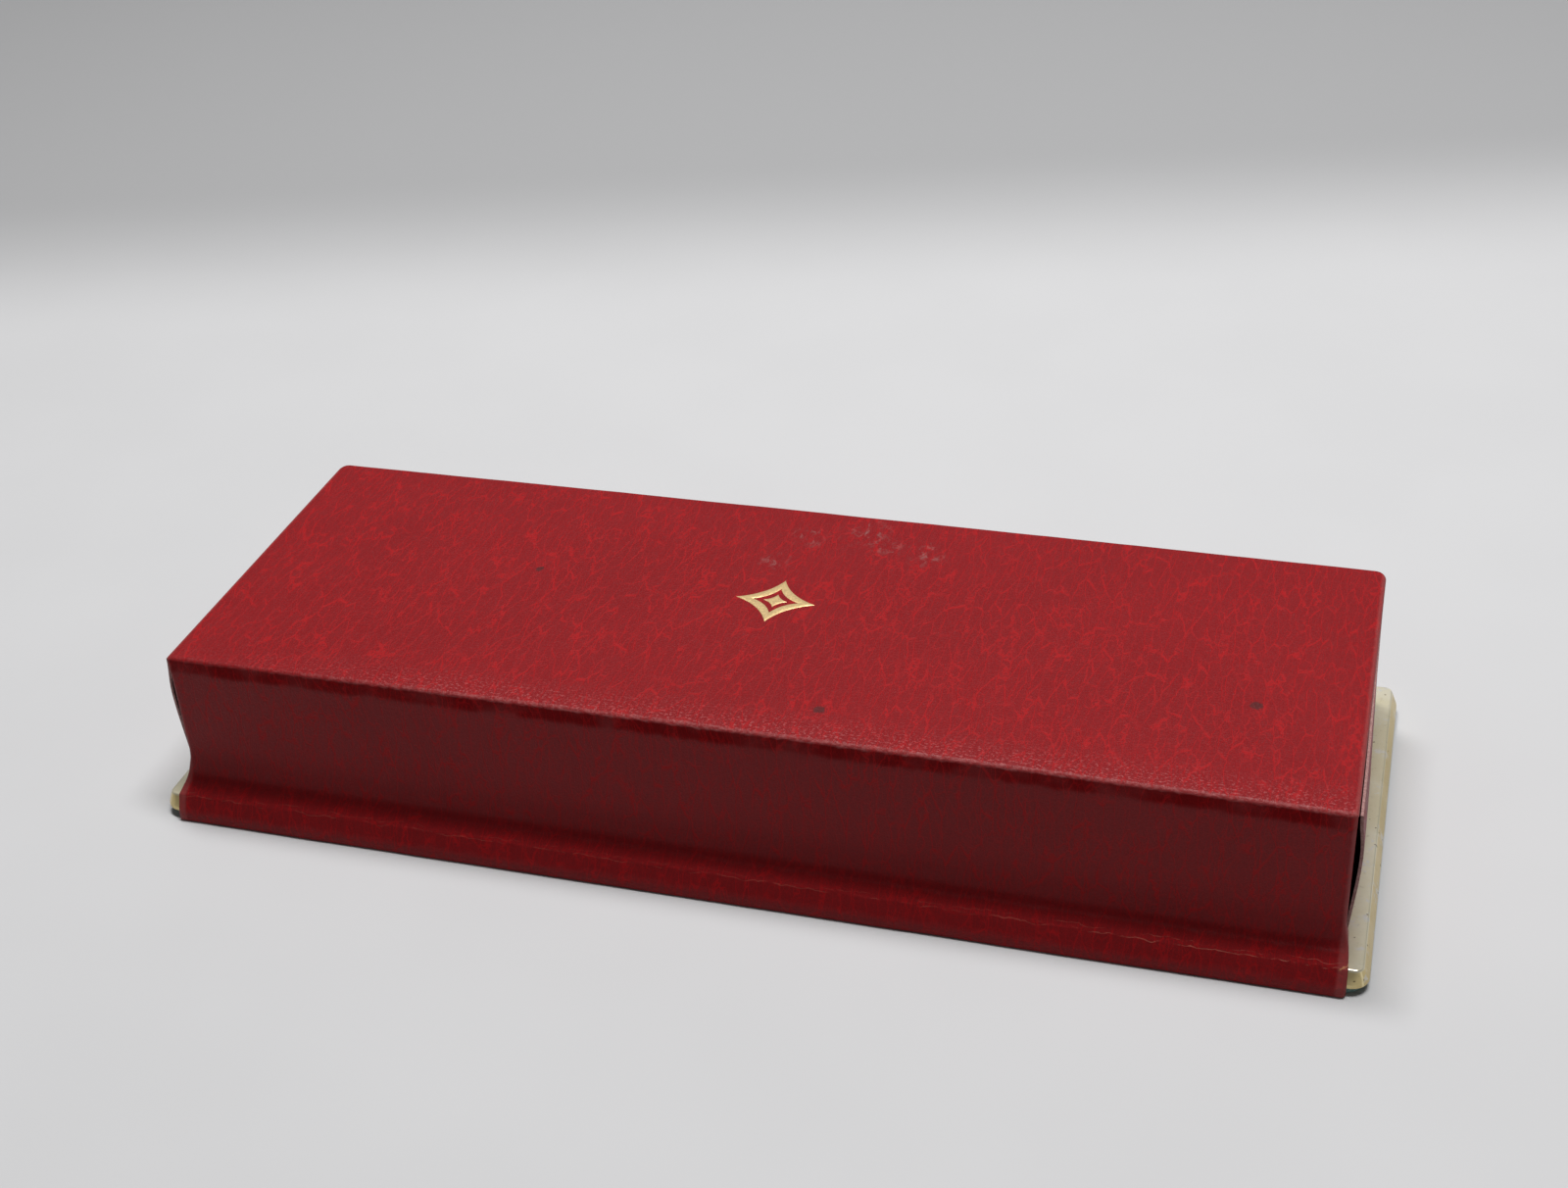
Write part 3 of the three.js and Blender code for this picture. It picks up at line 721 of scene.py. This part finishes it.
def cover_loop(half, depth):
    """One closed loop round the sheet as (x, offset) pairs, and the first and last inner index."""
    flat = half - EDGE_ROLL
    outer = [(x, 0.0) for x in np.linspace(-flat, flat, COVER_COLUMNS)]
    right = []
    for k in range(1, 5):
        a = k / 4 * math.pi / 2
        right.append((flat + EDGE_ROLL * math.sin(a), EDGE_ROLL * (math.cos(a) - 1)))
    right += [
        (half, -(EDGE_ROLL + depth) / 2),
        (half, -depth + 0.15),
        (half - 0.15, -depth),
        (half - HEM_WIDTH, -depth),
        (half - HEM_WIDTH, -depth + SHEET_HEM),
    ]
    inside = [(half - BOARD_WRAP, -depth + SHEET_HEM), (half - BOARD_WRAP, -SHEET)]
    left = [(-x, offset) for x, offset in reversed(right)]
    inner_start = len(outer) + len(right)
    loop = outer + right + inside + [(-x, offset) for x, offset in reversed(inside)] + left
    return loop, inner_start, inner_start + 2 * len(inside)


def cover_piece(name, rows, path, normals, flat_places, crease_place):
    """The part of the cover over some rows of its path. Places are measured along it from the ridge."""
    rings = []
    for row in rows:
        (y, z), (ny, nz), place = path[row], normals[row], flat_places[row]
        half, depth = cover_half_length(y, z), cover_depth(y, z)
        loop, inner_start, inner_stop = cover_loop(half, depth)
        ring = []
        for x, offset in loop:
            at_end = smoothstep(abs(x), half, half - 3)
            lift = offset
            if offset > -0.01:
                lift += at_end * cover_waves(x, y, z, place - crease_place)
            rise = crown(x, y) * smoothstep(z, 14, LID_TOP)
            beyond = -offset if abs(x) > half - EDGE_ROLL - 0.01 else 0.0
            point = (x, y + ny * lift, max(SHEET_FLOOR, z + nz * lift + rise))
            ring.append((point, (x + math.copysign(beyond, x), place)))
        rings.append(ring)
    return sheet_sweep(name, rings, inside_range=(inner_start, inner_stop))


def nearest(path, y, z):
    """The index of the path's point nearest to a place."""
    return min(range(len(path)), key=lambda i: math.hypot(path[i][0] - y, path[i][1] - z))


def leather_cover():
    """One sheet over the lid's top, the spine and the base's rear bevel, in two pieces.

    Returns the backing material, which the wall leather shares.
    """
    path = cover_path()
    normals = path_normals(path)
    along = lengths_along(path)
    ridge = nearest(path, SPINE_REAR, LID_TOP)
    places = along[ridge] - along
    crease_place = places[nearest(path, CREASE_Y, CREASE_Z)]
    split = min(i for i in range(ridge, len(path)) if path[i][1] < COVER_SPLIT)

    layout = (path, normals, places, crease_place)
    lid_part = cover_piece("cover_over_lid", range(0, split + 1), *layout)
    hinge_part = cover_piece("cover_over_hinge", range(split, len(path)), *layout)
    leather = leather_material("red_leather_cover", cover_crease=crease_place)
    backing = backing_material()
    for part in (lid_part, hinge_part):
        paint(part, leather, backing)
    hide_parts("lid_top_leather")
    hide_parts("spine_leather", "hinge_leather")
    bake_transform(lid_part)
    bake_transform(hinge_part)
    return backing


# ---- the lid's wall leather

WALL_SKIN = 0.5
WALL_BOW = 1.35
FRONT_BOW = 0.3
WALL_LEATHER_TOP = LID_SKIN_TOP - 0.02
WALL_LEATHER_FOOT = PAN_FLANGE + 0.22
WALL_TOP_EDGE = 2
WALL_SIDE_STEPS = 36
WALL_FRONT_STEPS = 100
WALL_CORNER_STEPS = 10


def wall_plan(inset):
    """Points and outward normals round the lid's three walls, set in from the outside by inset."""
    radius = max(LID_CORNER - inset, 0.12)
    x, front = LID_HALF - inset, LID_FRONT + inset
    left = []
    for k in range(WALL_SIDE_STEPS):
        t = k / WALL_SIDE_STEPS
        left.append(((-x, WALL_REAR + (front + radius - WALL_REAR) * t), (-1, 0)))
    for k in range(WALL_CORNER_STEPS + 1):
        a = math.pi + k / WALL_CORNER_STEPS * math.pi / 2
        direction = (math.cos(a), math.sin(a))
        point = (-x + radius + radius * direction[0], front + radius + radius * direction[1])
        left.append((point, direction))
    middle = []
    for k in range(1, WALL_FRONT_STEPS):
        t = k / WALL_FRONT_STEPS
        middle.append(((-x + radius + 2 * (x - radius) * t, front), (0, -1)))
    right = [((-px, py), (-nx, ny)) for (px, py), (nx, ny) in reversed(left)]
    return left + middle + right


def wall_bow(px, py, nx, z):
    """How far the wall leather stands off: most on the end walls toward the hinge, above their middle."""
    t = (z - WALL_LEATHER_FOOT) / (WALL_LEATHER_TOP - WALL_LEATHER_FOOT)
    height = smoothstep(t, -0.1, 0.72) * (1 - 0.45 * smoothstep(t, 0.72, 1.0)) - 0.04
    if abs(nx) > 0.99:
        loose = 0.3 * smoothstep(py, LID_FRONT + LID_CORNER, 0) + 0.7 * smoothstep(py, -20, WALL_REAR)
        return WALL_BOW * height * loose
    if abs(nx) < 0.01:
        return FRONT_BOW * height * smoothstep(LID_HALF - abs(px), LID_CORNER, 40)
    return 0.0


def wall_section():
    """The closed section of the wall leather as (inset, z, bows): skin, turned under the foot, hem inside."""
    foot, top = WALL_LEATHER_FOOT, WALL_LEATHER_TOP
    under = BOARD_FOOT - 0.06
    hem = LINING_FACE - LID_FRONT
    heights = list(np.linspace(top - 0.25, foot + 0.5, 22))
    section = [(WALL_SKIN, top, True), (0.22, top, True), (0.05, top - 0.1, True)]
    section += [(0.0, z, True) for z in heights]
    section += [(0.06, foot + 0.22, False), (0.2, foot + 0.06, False), (0.45, foot, False)]
    section += [(hem - 0.15, foot, False), (hem, foot + 0.15, False), (hem, LINING_FOOT - 0.05, False)]
    section += [(hem - 0.28, LINING_FOOT - 0.05, False), (hem - 0.3, under, False)]
    section += [(WALL_SKIN + 0.1, under, False)]
    inner_start = len(section)
    section += [(WALL_SKIN, z, True) for z in reversed(heights)]
    return section, inner_start


def lid_wall_leather(backing):
    """One strip of leather round the lid's front and ends, standing off the boards at the hinge end."""
    section, inner_start = wall_section()
    plans = {}
    for inset, _, _ in section:
        key = round(inset, 4)
        if key not in plans:
            plans[key] = wall_plan(max(0.0, inset))
    count = len(plans[0.0])
    outer_path = [point for point, _ in plans[0.0]]
    along = lengths_along(outer_path)
    rings = []
    for i in range(count):
        ring = []
        for inset, z, bows in section:
            (px, py), (nx, ny) = plans[round(inset, 4)][i]
            out = 0.0
            if bows:
                out = wall_bow(px, py, nx, z) + 0.05 * wobble(px, py, z, 14)
            up = z - 2 * inset if inset < 0.3 else z + 2 * inset
            ring.append(((px + nx * out, py + ny * out, z), (along[i], up)))
        rings.append(ring)
    strip = sheet_sweep("lid_wall_cover", rings, inside_range=(inner_start - 1, len(section)))
    paint(strip, leather_material("red_leather_walls"), backing, cut_edge_material())
    polygons = list(strip.data.polygons)
    top_edge = [polygon for polygon in polygons[:-2] if polygon.index % len(section) < WALL_TOP_EDGE]
    for polygon in top_edge + polygons[-2:]:
        polygon.material_index = 2
    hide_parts("lid_wall_leather")
    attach(strip, "lid")


# ---- the foil ornament

FOIL_THICKNESS = 0.05
FOIL_LIFT = 0.05
LOZENGE_HOLLOW = 0.28
FRAME_SCALES = (1.0, 0.97, 0.8, 0.62, 0.58)
CENTRE_SCALES = (0.3, 0.27, 0.14)


def lozenge_outline(centre, half_x, half_y, steps=14):
    """Points round a lozenge with hollowed sides."""
    tips = [(half_x, 0.0), (0.0, half_y), (-half_x, 0.0), (0.0, -half_y)]
    points = []
    for i in range(4):
        (x0, y0), (x2, y2) = tips[i], tips[(i + 1) % 4]
        x1, y1 = LOZENGE_HOLLOW * (x0 + x2), LOZENGE_HOLLOW * (y0 + y2)
        for k in range(steps):
            t = k / steps
            a, b, c = (1 - t) ** 2, 2 * t * (1 - t), t * t
            points.append((centre[0] + a * x0 + b * x1 + c * x2, centre[1] + a * y0 + b * y1 + c * y2))
    return points


def on_top(x, y, lift):
    return (x, y, LID_TOP + crown(x, y) + cover_waves(x, y, LID_TOP, 99.0) + lift)


def foil_ornament():
    """A lozenge frame with a small lozenge inside it."""
    x0, x1 = span("foil_ornament", X)
    y0, y1 = span("foil_ornament", Y)
    centre = ((x0 + x1) / 2, (y0 + y1) / 2)
    half_x, half_y = (x1 - x0) / 2, (y1 - y0) / 2
    gold = foil_material()
    outlines = [lozenge_outline(centre, half_x * s, half_y * s) for s in FRAME_SCALES]
    rings = []
    for i in range(len(outlines[0])):
        loop = [on_top(*outline[i], FOIL_LIFT) for outline in outlines[1:-1]]
        loop += [on_top(*outlines[-1][i], FOIL_LIFT - FOIL_THICKNESS)]
        loop += [on_top(*outlines[0][i], FOIL_LIFT - FOIL_THICKNESS)]
        rings.append(loop)
    ring_piece = sweep("foil_frame", rings, closed_path=True)
    small = [lozenge_outline(centre, half_x * s, half_y * s) for s in CENTRE_SCALES]
    rings = [[on_top(x, y, FOIL_LIFT - FOIL_THICKNESS) for x, y in small[0]]]
    rings += [[on_top(x, y, FOIL_LIFT) for x, y in outline] for outline in small[1:]]
    centre_piece = sweep("foil_centre", rings)
    for piece in (ring_piece, centre_piece):
        paint(piece, gold)
        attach(piece, "lid")
    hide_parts("foil_ornament")


# ---- the gilt pan

PAN_CORNER = 3.2
PAN_SHEET = 0.45
PLAN_STEP = 3.0
PLAN_CORNER_STEPS = 12


def rounded_plan(low, high, inset, radius):
    """Points round a closed rounded rectangle between two corners, set in by inset."""
    x0, y0, x1, y1 = low[0] + inset, low[1] + inset, high[0] - inset, high[1] - inset
    corners = [(x1 - radius, y0 + radius, -0.25), (x1 - radius, y1 - radius, 0.0),
               (x0 + radius, y1 - radius, 0.25), (x0 + radius, y0 + radius, 0.5)]
    points = []
    for i, (cx, cy, start) in enumerate(corners):
        for k in range(PLAN_CORNER_STEPS + 1):
            a = FULL_TURN * (start + 0.25 * k / PLAN_CORNER_STEPS)
            points.append((cx + radius * math.cos(a), cy + radius * math.sin(a)))
        next_x, next_y, next_start = corners[(i + 1) % 4]
        a = FULL_TURN * next_start
        target = (next_x + radius * math.cos(a), next_y + radius * math.sin(a))
        last = points[-1]
        side = (high[0] - low[0]) if i % 2 else (high[1] - low[1])
        steps = round(side / PLAN_STEP)
        for k in range(1, steps):
            t = k / steps
            points.append((last[0] + (target[0] - last[0]) * t, last[1] + (target[1] - last[1]) * t))
    return points


def frame_sweep(name, low, high, section, radius_at, noise_size):
    """Sweeps a closed (inset, z) section round a rounded rectangle, dented by up to about noise_size."""
    plans = [rounded_plan(low, high, inset, radius_at(inset)) for inset, _ in section]
    rings = []
    for i in range(len(plans[0])):
        ring = []
        for (inset, z), plan in zip(section, plans):
            x, y = plan[i]
            dent = noise_size * (wobble(x, y, z, 9) + 0.5 * wobble(x, y, z + 20, 3))
            ring.append((x, y, z + dent))
        rings.append(ring)
    return sweep(name, rings, closed_path=True)


def gilt_pan():
    """The pressed pan: a rolled lip, a steep bevel with sharp mitres above, and the flange."""
    foot, flange = PAN_FOOT, PAN_FLANGE
    section = [
        (0.12, foot), (0.0, foot + 0.12), (0.0, foot + 0.5), (0.12, foot + 0.85),
        (0.62, foot + 1.95), (1.02, flange - 0.28), (1.1, flange - 0.12), (1.24, flange - 0.02),
        (1.5, flange), (3.0, flange - 0.02), (5.0, flange), (12.0, flange),
        (12.0, flange - PAN_SHEET), (1.6, flange - PAN_SHEET), (0.5, foot + 0.1),
    ]

    def radius_at(inset):
        return max(0.5, PAN_CORNER - 1.6 * inset)

    pan = frame_sweep("pressed_pan", PAN_LOW, PAN_HIGH, section, radius_at, noise_size=0.035)
    paint(pan, gilt_material())
    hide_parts("gilt_pan")
    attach(pan, "base")


# ---- the velvet plinth

PLINTH_RIM = 1.15
PLINTH_GAP = 0.3
VELVET_SHEET = 0.45


def plinth_velvet(velvet):
    """Velvet turned over the plinth's frame, thick and soft at the rim."""
    (x0, y0, z0), (x1, y1, z1) = box_mm("well_velvet")
    wall = span("bed_board", Y)[0] - PLINTH_GAP - y0
    rim, skin = PLINTH_RIM, VELVET_SHEET
    section = [(0.02, z0), (0.0, z0 + 1.2)]
    section += [(0.0, z) for z in np.linspace(z0 + 2.4, z1 - rim, 6)]
    for k in range(1, 7):
        a = k / 6 * math.pi / 2
        section.append((rim * (1 - math.cos(a)), z1 - rim + rim * math.sin(a)))
    for k in range(0, 7):
        a = k / 6 * math.pi / 2
        section.append((wall - rim * (1 - math.sin(a)), z1 - rim + rim * math.cos(a)))
    section += [(wall, z) for z in np.linspace(z1 - rim - 1.0, z0, 6)]
    section += [(wall - skin, z0), (wall - skin, z1 - 0.55), (skin, z1 - 0.55), (skin, z0)]

    def radius_at(inset):
        return 1.5 - inset if inset < 1.2 else 0.5

    piece = frame_sweep("plinth_velvet", (x0, y0), (x1, y1), section, radius_at, noise_size=0.04)
    paint(piece, velvet)
    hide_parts("well_velvet")
    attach(piece, "base")


# ---- padded pieces

SIM_SCALE = 4.0
SIM_FRAMES = 20
SIM_PRESSURE = 4.0
PAD_STEP = 2.0
PAD_EDGE = 0.35
PAD_UNDERSIDE = 0.06
PAD_MARGIN = 0.12
PAD_CLEAR = 0.02
PAD_SWELL = 0.6


def pad_slab(node, up, seam_xs):
    """A closed slab of quads in a CAD pad's box: its points, faces, and the points that are sewn down."""
    (x0, y0, z0), (x1, y1, z1) = box_mm(node)
    soft_z, hard_z = (z1, z0) if up > 0 else (z0, z1)
    columns, rows = round((x1 - x0) / PAD_STEP), round((y1 - y0) / PAD_STEP)
    index, points, faces, sewn = {}, [], [], []
    for side, i, j in itertools.product((0, 1), range(columns + 1), range(rows + 1)):
        near = min(i, columns - i, j, rows - j)
        if side == 1 and near == 0:
            index[(1, i, j)] = index[(0, i, j)]
            continue
        x = x0 + PAD_EDGE + (x1 - x0 - 2 * PAD_EDGE) * i / columns
        y = y0 + PAD_EDGE + (y1 - y0 - 2 * PAD_EDGE) * j / rows
        on_seam = side == 0 and any(abs(x - seam) < PAD_STEP / 2 for seam in seam_xs)
        if near == 0:
            height = 0.3
        elif on_seam:
            height = 0.42
        else:
            height = 0.45 + 0.3 * min(1.0, near / 3)
        under = side == 1
        z = hard_z + PAD_UNDERSIDE * up if under else hard_z + (soft_z - hard_z) * height
        index[(side, i, j)] = len(points)
        if under or near == 0 or on_seam:
            sewn.append(len(points))
        points.append((x, y, z))
    for i, j in itertools.product(range(columns), range(rows)):
        top = (index[(0, i, j)], index[(0, i + 1, j)], index[(0, i + 1, j + 1)], index[(0, i, j + 1)])
        low = (index[(1, i, j)], index[(1, i, j + 1)], index[(1, i + 1, j + 1)], index[(1, i + 1, j)])
        faces += [top if up > 0 else top[::-1], low if up > 0 else low[::-1]]
    return points, faces, sewn


def puffed_pad(name, node, body, material, up, seam_xs, cap):
    """A stuffed pad over a CAD pad's box: a cloth skin blown up from a flat slab, sewn down along seams.

    up is 1 where the soft face is on top, -1 where it hangs below a board. No point moves by more than cap.
    """
    points, faces, sewn = pad_slab(node, up, seam_xs)
    pad = mesh_object(name, points, faces, smooth_angle=60)
    outward(pad)
    inflate(pad, sewn)
    rest = np.array(points)
    shift = np.array([vertex.co for vertex in pad.data.vertices]) / MM - rest
    length = np.linalg.norm(shift, axis=1)
    shift *= np.minimum(1.0, cap / np.maximum(length, 1e-9))[:, None]
    low, high = np.array(box_mm(node))
    low -= PAD_MARGIN
    high += PAD_MARGIN
    low[Z], high[Z] = span(node, Z)
    if up > 0:
        low[Z], high[Z] = low[Z] + PAD_CLEAR, high[Z] + PAD_SWELL
    else:
        low[Z], high[Z] = low[Z] - PAD_SWELL, high[Z] - PAD_CLEAR
    for vertex, place in zip(pad.data.vertices, np.clip(rest + shift, low, high)):
        vertex.co = Vector(place) * MM
    subdivide(pad, 1)
    paint(pad, material)
    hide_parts(node)
    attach(pad, body)
    return pad


def inflate(pad, sewn):
    """Blows the pad's skin up with cloth, at a larger scale so that the solver's thickness doesn't matter."""
    scene = bpy.context.scene
    for vertex in pad.data.vertices:
        vertex.co *= SIM_SCALE
    group = pad.vertex_groups.new(name="sewn")
    group.add(sewn, 1.0, "REPLACE")
    cloth = pad.modifiers.new("cloth", "CLOTH")
    configure(
        cloth.settings, vertex_group_mass="sewn", use_pressure=True, uniform_pressure_force=SIM_PRESSURE,
        quality=6, shrink_min=-0.05, tension_stiffness=12, compression_stiffness=12,
        bending_stiffness=0.3,
    )
    cloth.settings.effector_weights.gravity = 0
    configure(cloth.point_cache, frame_start=1, frame_end=SIM_FRAMES)
    scene.frame_start, scene.frame_end = 1, SIM_FRAMES
    for number in range(1, SIM_FRAMES + 1):
        scene.frame_set(number)
    apply_modifiers(pad)
    scene.frame_set(1)
    for vertex in pad.data.vertices:
        vertex.co /= SIM_SCALE
    pad.vertex_groups.clear()


def apply_modifiers(obj):
    """Replaces the object's mesh with its evaluated one."""
    graph = bpy.context.evaluated_depsgraph_get()
    mesh = bpy.data.meshes.new_from_object(obj.evaluated_get(graph))
    obj.modifiers.clear()
    obj.data = mesh


def subdivide(obj, levels):
    modifier = obj.modifiers.new("smooth", "SUBSURF")
    modifier.levels = modifier.render_levels = levels
    apply_modifiers(obj)


# ---- hinge cloths

CLOTH_COLUMNS = 80
CLOTH_RIPPLE = 0.03


def cloth_strip(name, corners, half, thickness):
    """A thin cloth strip along X over a (y, z) path."""
    path = filleted(corners, arc_step=0.3, line_step=0.8)
    normals = path_normals(path)
    along = lengths_along(path)
    rings = []
    for (y, z), (ny, nz), place in zip(path, normals, along):
        top = [(x, thickness / 2) for x in np.linspace(-half, half, CLOTH_COLUMNS)]
        loop = top + [(x, -thickness / 2) for x, _ in reversed(top)]
        ring = []
        for x, offset in loop:
            lift = offset + CLOTH_RIPPLE * wobble(x, y, z, 6)
            ring.append(((x, y + ny * lift, z + nz * lift), (x, place)))
        rings.append(ring)
    return sheet_sweep(name, rings), along[-1]


def lower_hinge_cloth():
    """Linen glued on the flange behind the plinth, turned up onto the spine board."""
    front, rear = span("hinge_cloth", Y)
    low, high = span("hinge_cloth", Z)
    half = span("hinge_cloth", X)[1]
    flange = (low + high) / 2
    board = SPINE_INNER_FACE - 0.08
    strip, length = cloth_strip("hinge_linen", [
        (front, flange, 0), (rear - 0.8, flange, 0.25), (rear - 1.0, flange + 0.6, 0.25),
        (SPINE_INNER_FACE + 1.2, SPINE_BOARD_FOOT - 0.7, 0.6), (board, SPINE_BOARD_FOOT + 0.1, 0.3),
        (board, SPINE_BOARD_FOOT + 2.0, 0),
    ], half, 0.14)
    paint(strip, linen_material())
    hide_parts("hinge_cloth")
    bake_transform(strip)


def upper_hinge_cloth(satin):
    """Satin under the lid's top board behind the pad, turned down onto the spine board."""
    front = span("ridge_cloth", Y)[0]
    low, high = span("ridge_cloth", Z)
    half = span("spine_lining", X)[1] - 0.2
    under = (low + high) / 2
    board = SPINE_INNER_FACE - 0.1
    strip, _ = cloth_strip("ridge_satin", [
        (front, under, 0), (board, under, 0.5), (board, SPINE_BOARD_TOP - 0.9, 0),
    ], half, 0.12)
    paint(strip, satin)
    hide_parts("ridge_cloth")
    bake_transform(strip)


# ---- CAD nodes that stay

def dress(node, material, bevel):
    """Gives a CAD node its material, and softens its edges by bevel millimetres."""
    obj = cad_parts[node]
    obj.data.materials.clear()
    paint(obj, material)
    weld = obj.modifiers.new("weld", "WELD")
    weld.merge_threshold = 0.001 * MM
    configure(
        obj.modifiers.new("bevel", "BEVEL"), width=bevel * MM, segments=3, limit_method="ANGLE",
        angle_limit=math.radians(30), use_clamp_overlap=True,
    )


def dress_cad_nodes(satin):
    grey = board_material("grey_board", (96, 90, 82), (132, 124, 112))
    # the spine and end boards are black paper, and their black also stands in for the shade in the gaps at
    # the lid's hinge ends
    black = board_material("black_papered_board_painted_gap_shade", (18, 15, 15), (40, 34, 33))
    wood = wood_material()
    teal = felt_material("teal_baize", (88, 132, 130), (146, 186, 180))
    for material, bevel, nodes in (
        (teal, 0.3, ("underside_baize",)),
        (grey, 0.2, ("base_board", "bed_board", "lid_pad_board")),
        (black, 0.25, ("spine_board", "lid_end_board_left", "lid_end_board_right")),
        (grey, 0.25, ("lid_top_board", "lid_front_board")),
        (wood, 0.3, ("plinth_front", "plinth_rear", "plinth_left", "plinth_right")),
        (satin, 0.12, ("spine_lining", "lid_lining_front", "lid_lining_left", "lid_lining_right")),
    ):
        for node in nodes:
            dress(node, material, bevel)


# ---- stage

PAPER_TURN = 16.0


def studio_material():
    """Plain pale paper, with painted shade that turns it darker grey behind the object."""
    n = Nodes("pale_paper")
    place = n.object_mm()
    back = n.parts(place)["Y"]
    # painted shade: the paper turns darker grey toward the back
    shade = n.ramp(back, -200.0, -305.0)
    tooth = n.ramp(n.noise(place, 0.02, detail=2), 0.3, 0.7, 0.0, 0.5)
    pale = n.mix(tooth, (194, 194, 195), (191, 191, 192))
    base = n.mix(shade, pale, (159, 159, 160))
    return n.surface(Base_Color=base, Roughness=0.85, Specular_IOR_Level=0.1)


def studio():
    """A paper floor that curves up into a backdrop, turned a little against the case."""
    depth_front, depth_back, width, height, radius = 1400, -900, 1600, 900, 300
    profile = [(depth_front, 0.0), (depth_back + radius, 0.0)]
    for k in range(1, 13):
        a = k / 12 * math.pi / 2
        profile.append((depth_back + radius - radius * math.sin(a), radius - radius * math.cos(a)))
    profile.append((depth_back, height))
    points = []
    for y, z in profile:
        points += [(-width, y, z), (width, y, z)]
    faces = [(2 * i, 2 * i + 1, 2 * i + 3, 2 * i + 2) for i in range(len(profile) - 1)]
    paper = mesh_object("paper_sweep", points, faces)
    paper.rotation_euler = (0, 0, math.radians(PAPER_TURN))
    paint(paper, studio_material())


def soft_light(name, place, target, size, power):
    lamp = bpy.data.lights.new(name, "AREA")
    configure(lamp, shape="RECTANGLE", size=size[0], size_y=size[1], energy=power)
    obj = link(bpy.data.objects.new(name, lamp))
    obj.location = place
    obj.rotation_euler = (Vector(target) - Vector(place)).to_track_quat("-Z", "Y").to_euler()


ROOM_COLOUR = (1.0, 0.99, 0.98, 1.0)
ROOM_STRENGTH = 0.11


def lighting():
    """A dim even room, a long light over the case and a weak one from its front."""
    world = bpy.data.worlds.new("soft_room")
    bpy.context.scene.world = world
    world.use_nodes = True
    background = world.node_tree.nodes["Background"]
    background.inputs["Color"].default_value = ROOM_COLOUR
    background.inputs["Strength"].default_value = ROOM_STRENGTH
    soft_light(
        "overhead", place=(-0.04, -0.16, 1.1), target=(-0.02, -0.1, 0), size=(0.75, 0.2), power=15.8,
    )
    soft_light("from_front", place=(0.1, -1.0, 0.5), target=(0, 0, 0.02), size=(1.2, 0.5), power=1.0)
    view = bpy.context.scene.view_settings
    view.view_transform = "Standard"
    view.look = "None"


CAMERA_PLACE = (-0.1048, 0.3132, 0.2487)
CAMERA_AZIMUTH = 198.25
CAMERA_ELEVATION = 32.62
CAMERA_ROLL = -3.59
CAMERA_LENS = 50.0


def camera():
    """Looks down on the hinge side from the left end, tilted a little."""
    data = bpy.data.cameras.new("camera")
    configure(data, lens=CAMERA_LENS, sensor_width=36.0, clip_start=0.01, clip_end=20.0)
    obj = link(bpy.data.objects.new("camera", data))
    azimuth, elevation = math.radians(CAMERA_AZIMUTH), math.radians(CAMERA_ELEVATION)
    back = Vector((
        math.sin(azimuth) * math.cos(elevation),
        -math.cos(azimuth) * math.cos(elevation),
        math.sin(elevation),
    ))
    turn = (-back).to_track_quat("-Z", "Y").to_matrix() @ Matrix.Rotation(math.radians(CAMERA_ROLL), 3, "Z")
    obj.matrix_world = Matrix.Translation(CAMERA_PLACE) @ turn.to_4x4()
    bpy.context.scene.camera = obj


# ---- assembly

studio()
lighting()
camera()

black_backing = leather_cover()
lid_wall_leather(black_backing)
foil_ornament()
gilt_pan()

ivory_velvet = velvet_material("ivory_velvet", (206, 190, 160), (221, 207, 180))
ivory_satin = satin_material()
plinth_velvet(ivory_velvet)
bed = puffed_pad(
    "velvet_bed", "bed_pad", "base", ivory_velvet, up=1, seam_xs=(-46, 46), cap=2.0,
)
ceiling = puffed_pad(
    "satin_ceiling", "lid_pad", "lid", ivory_satin, up=-1, seam_xs=(-34, 34), cap=1.8,
)
lower_hinge_cloth()
upper_hinge_cloth(ivory_satin)
dress_cad_nodes(ivory_satin)
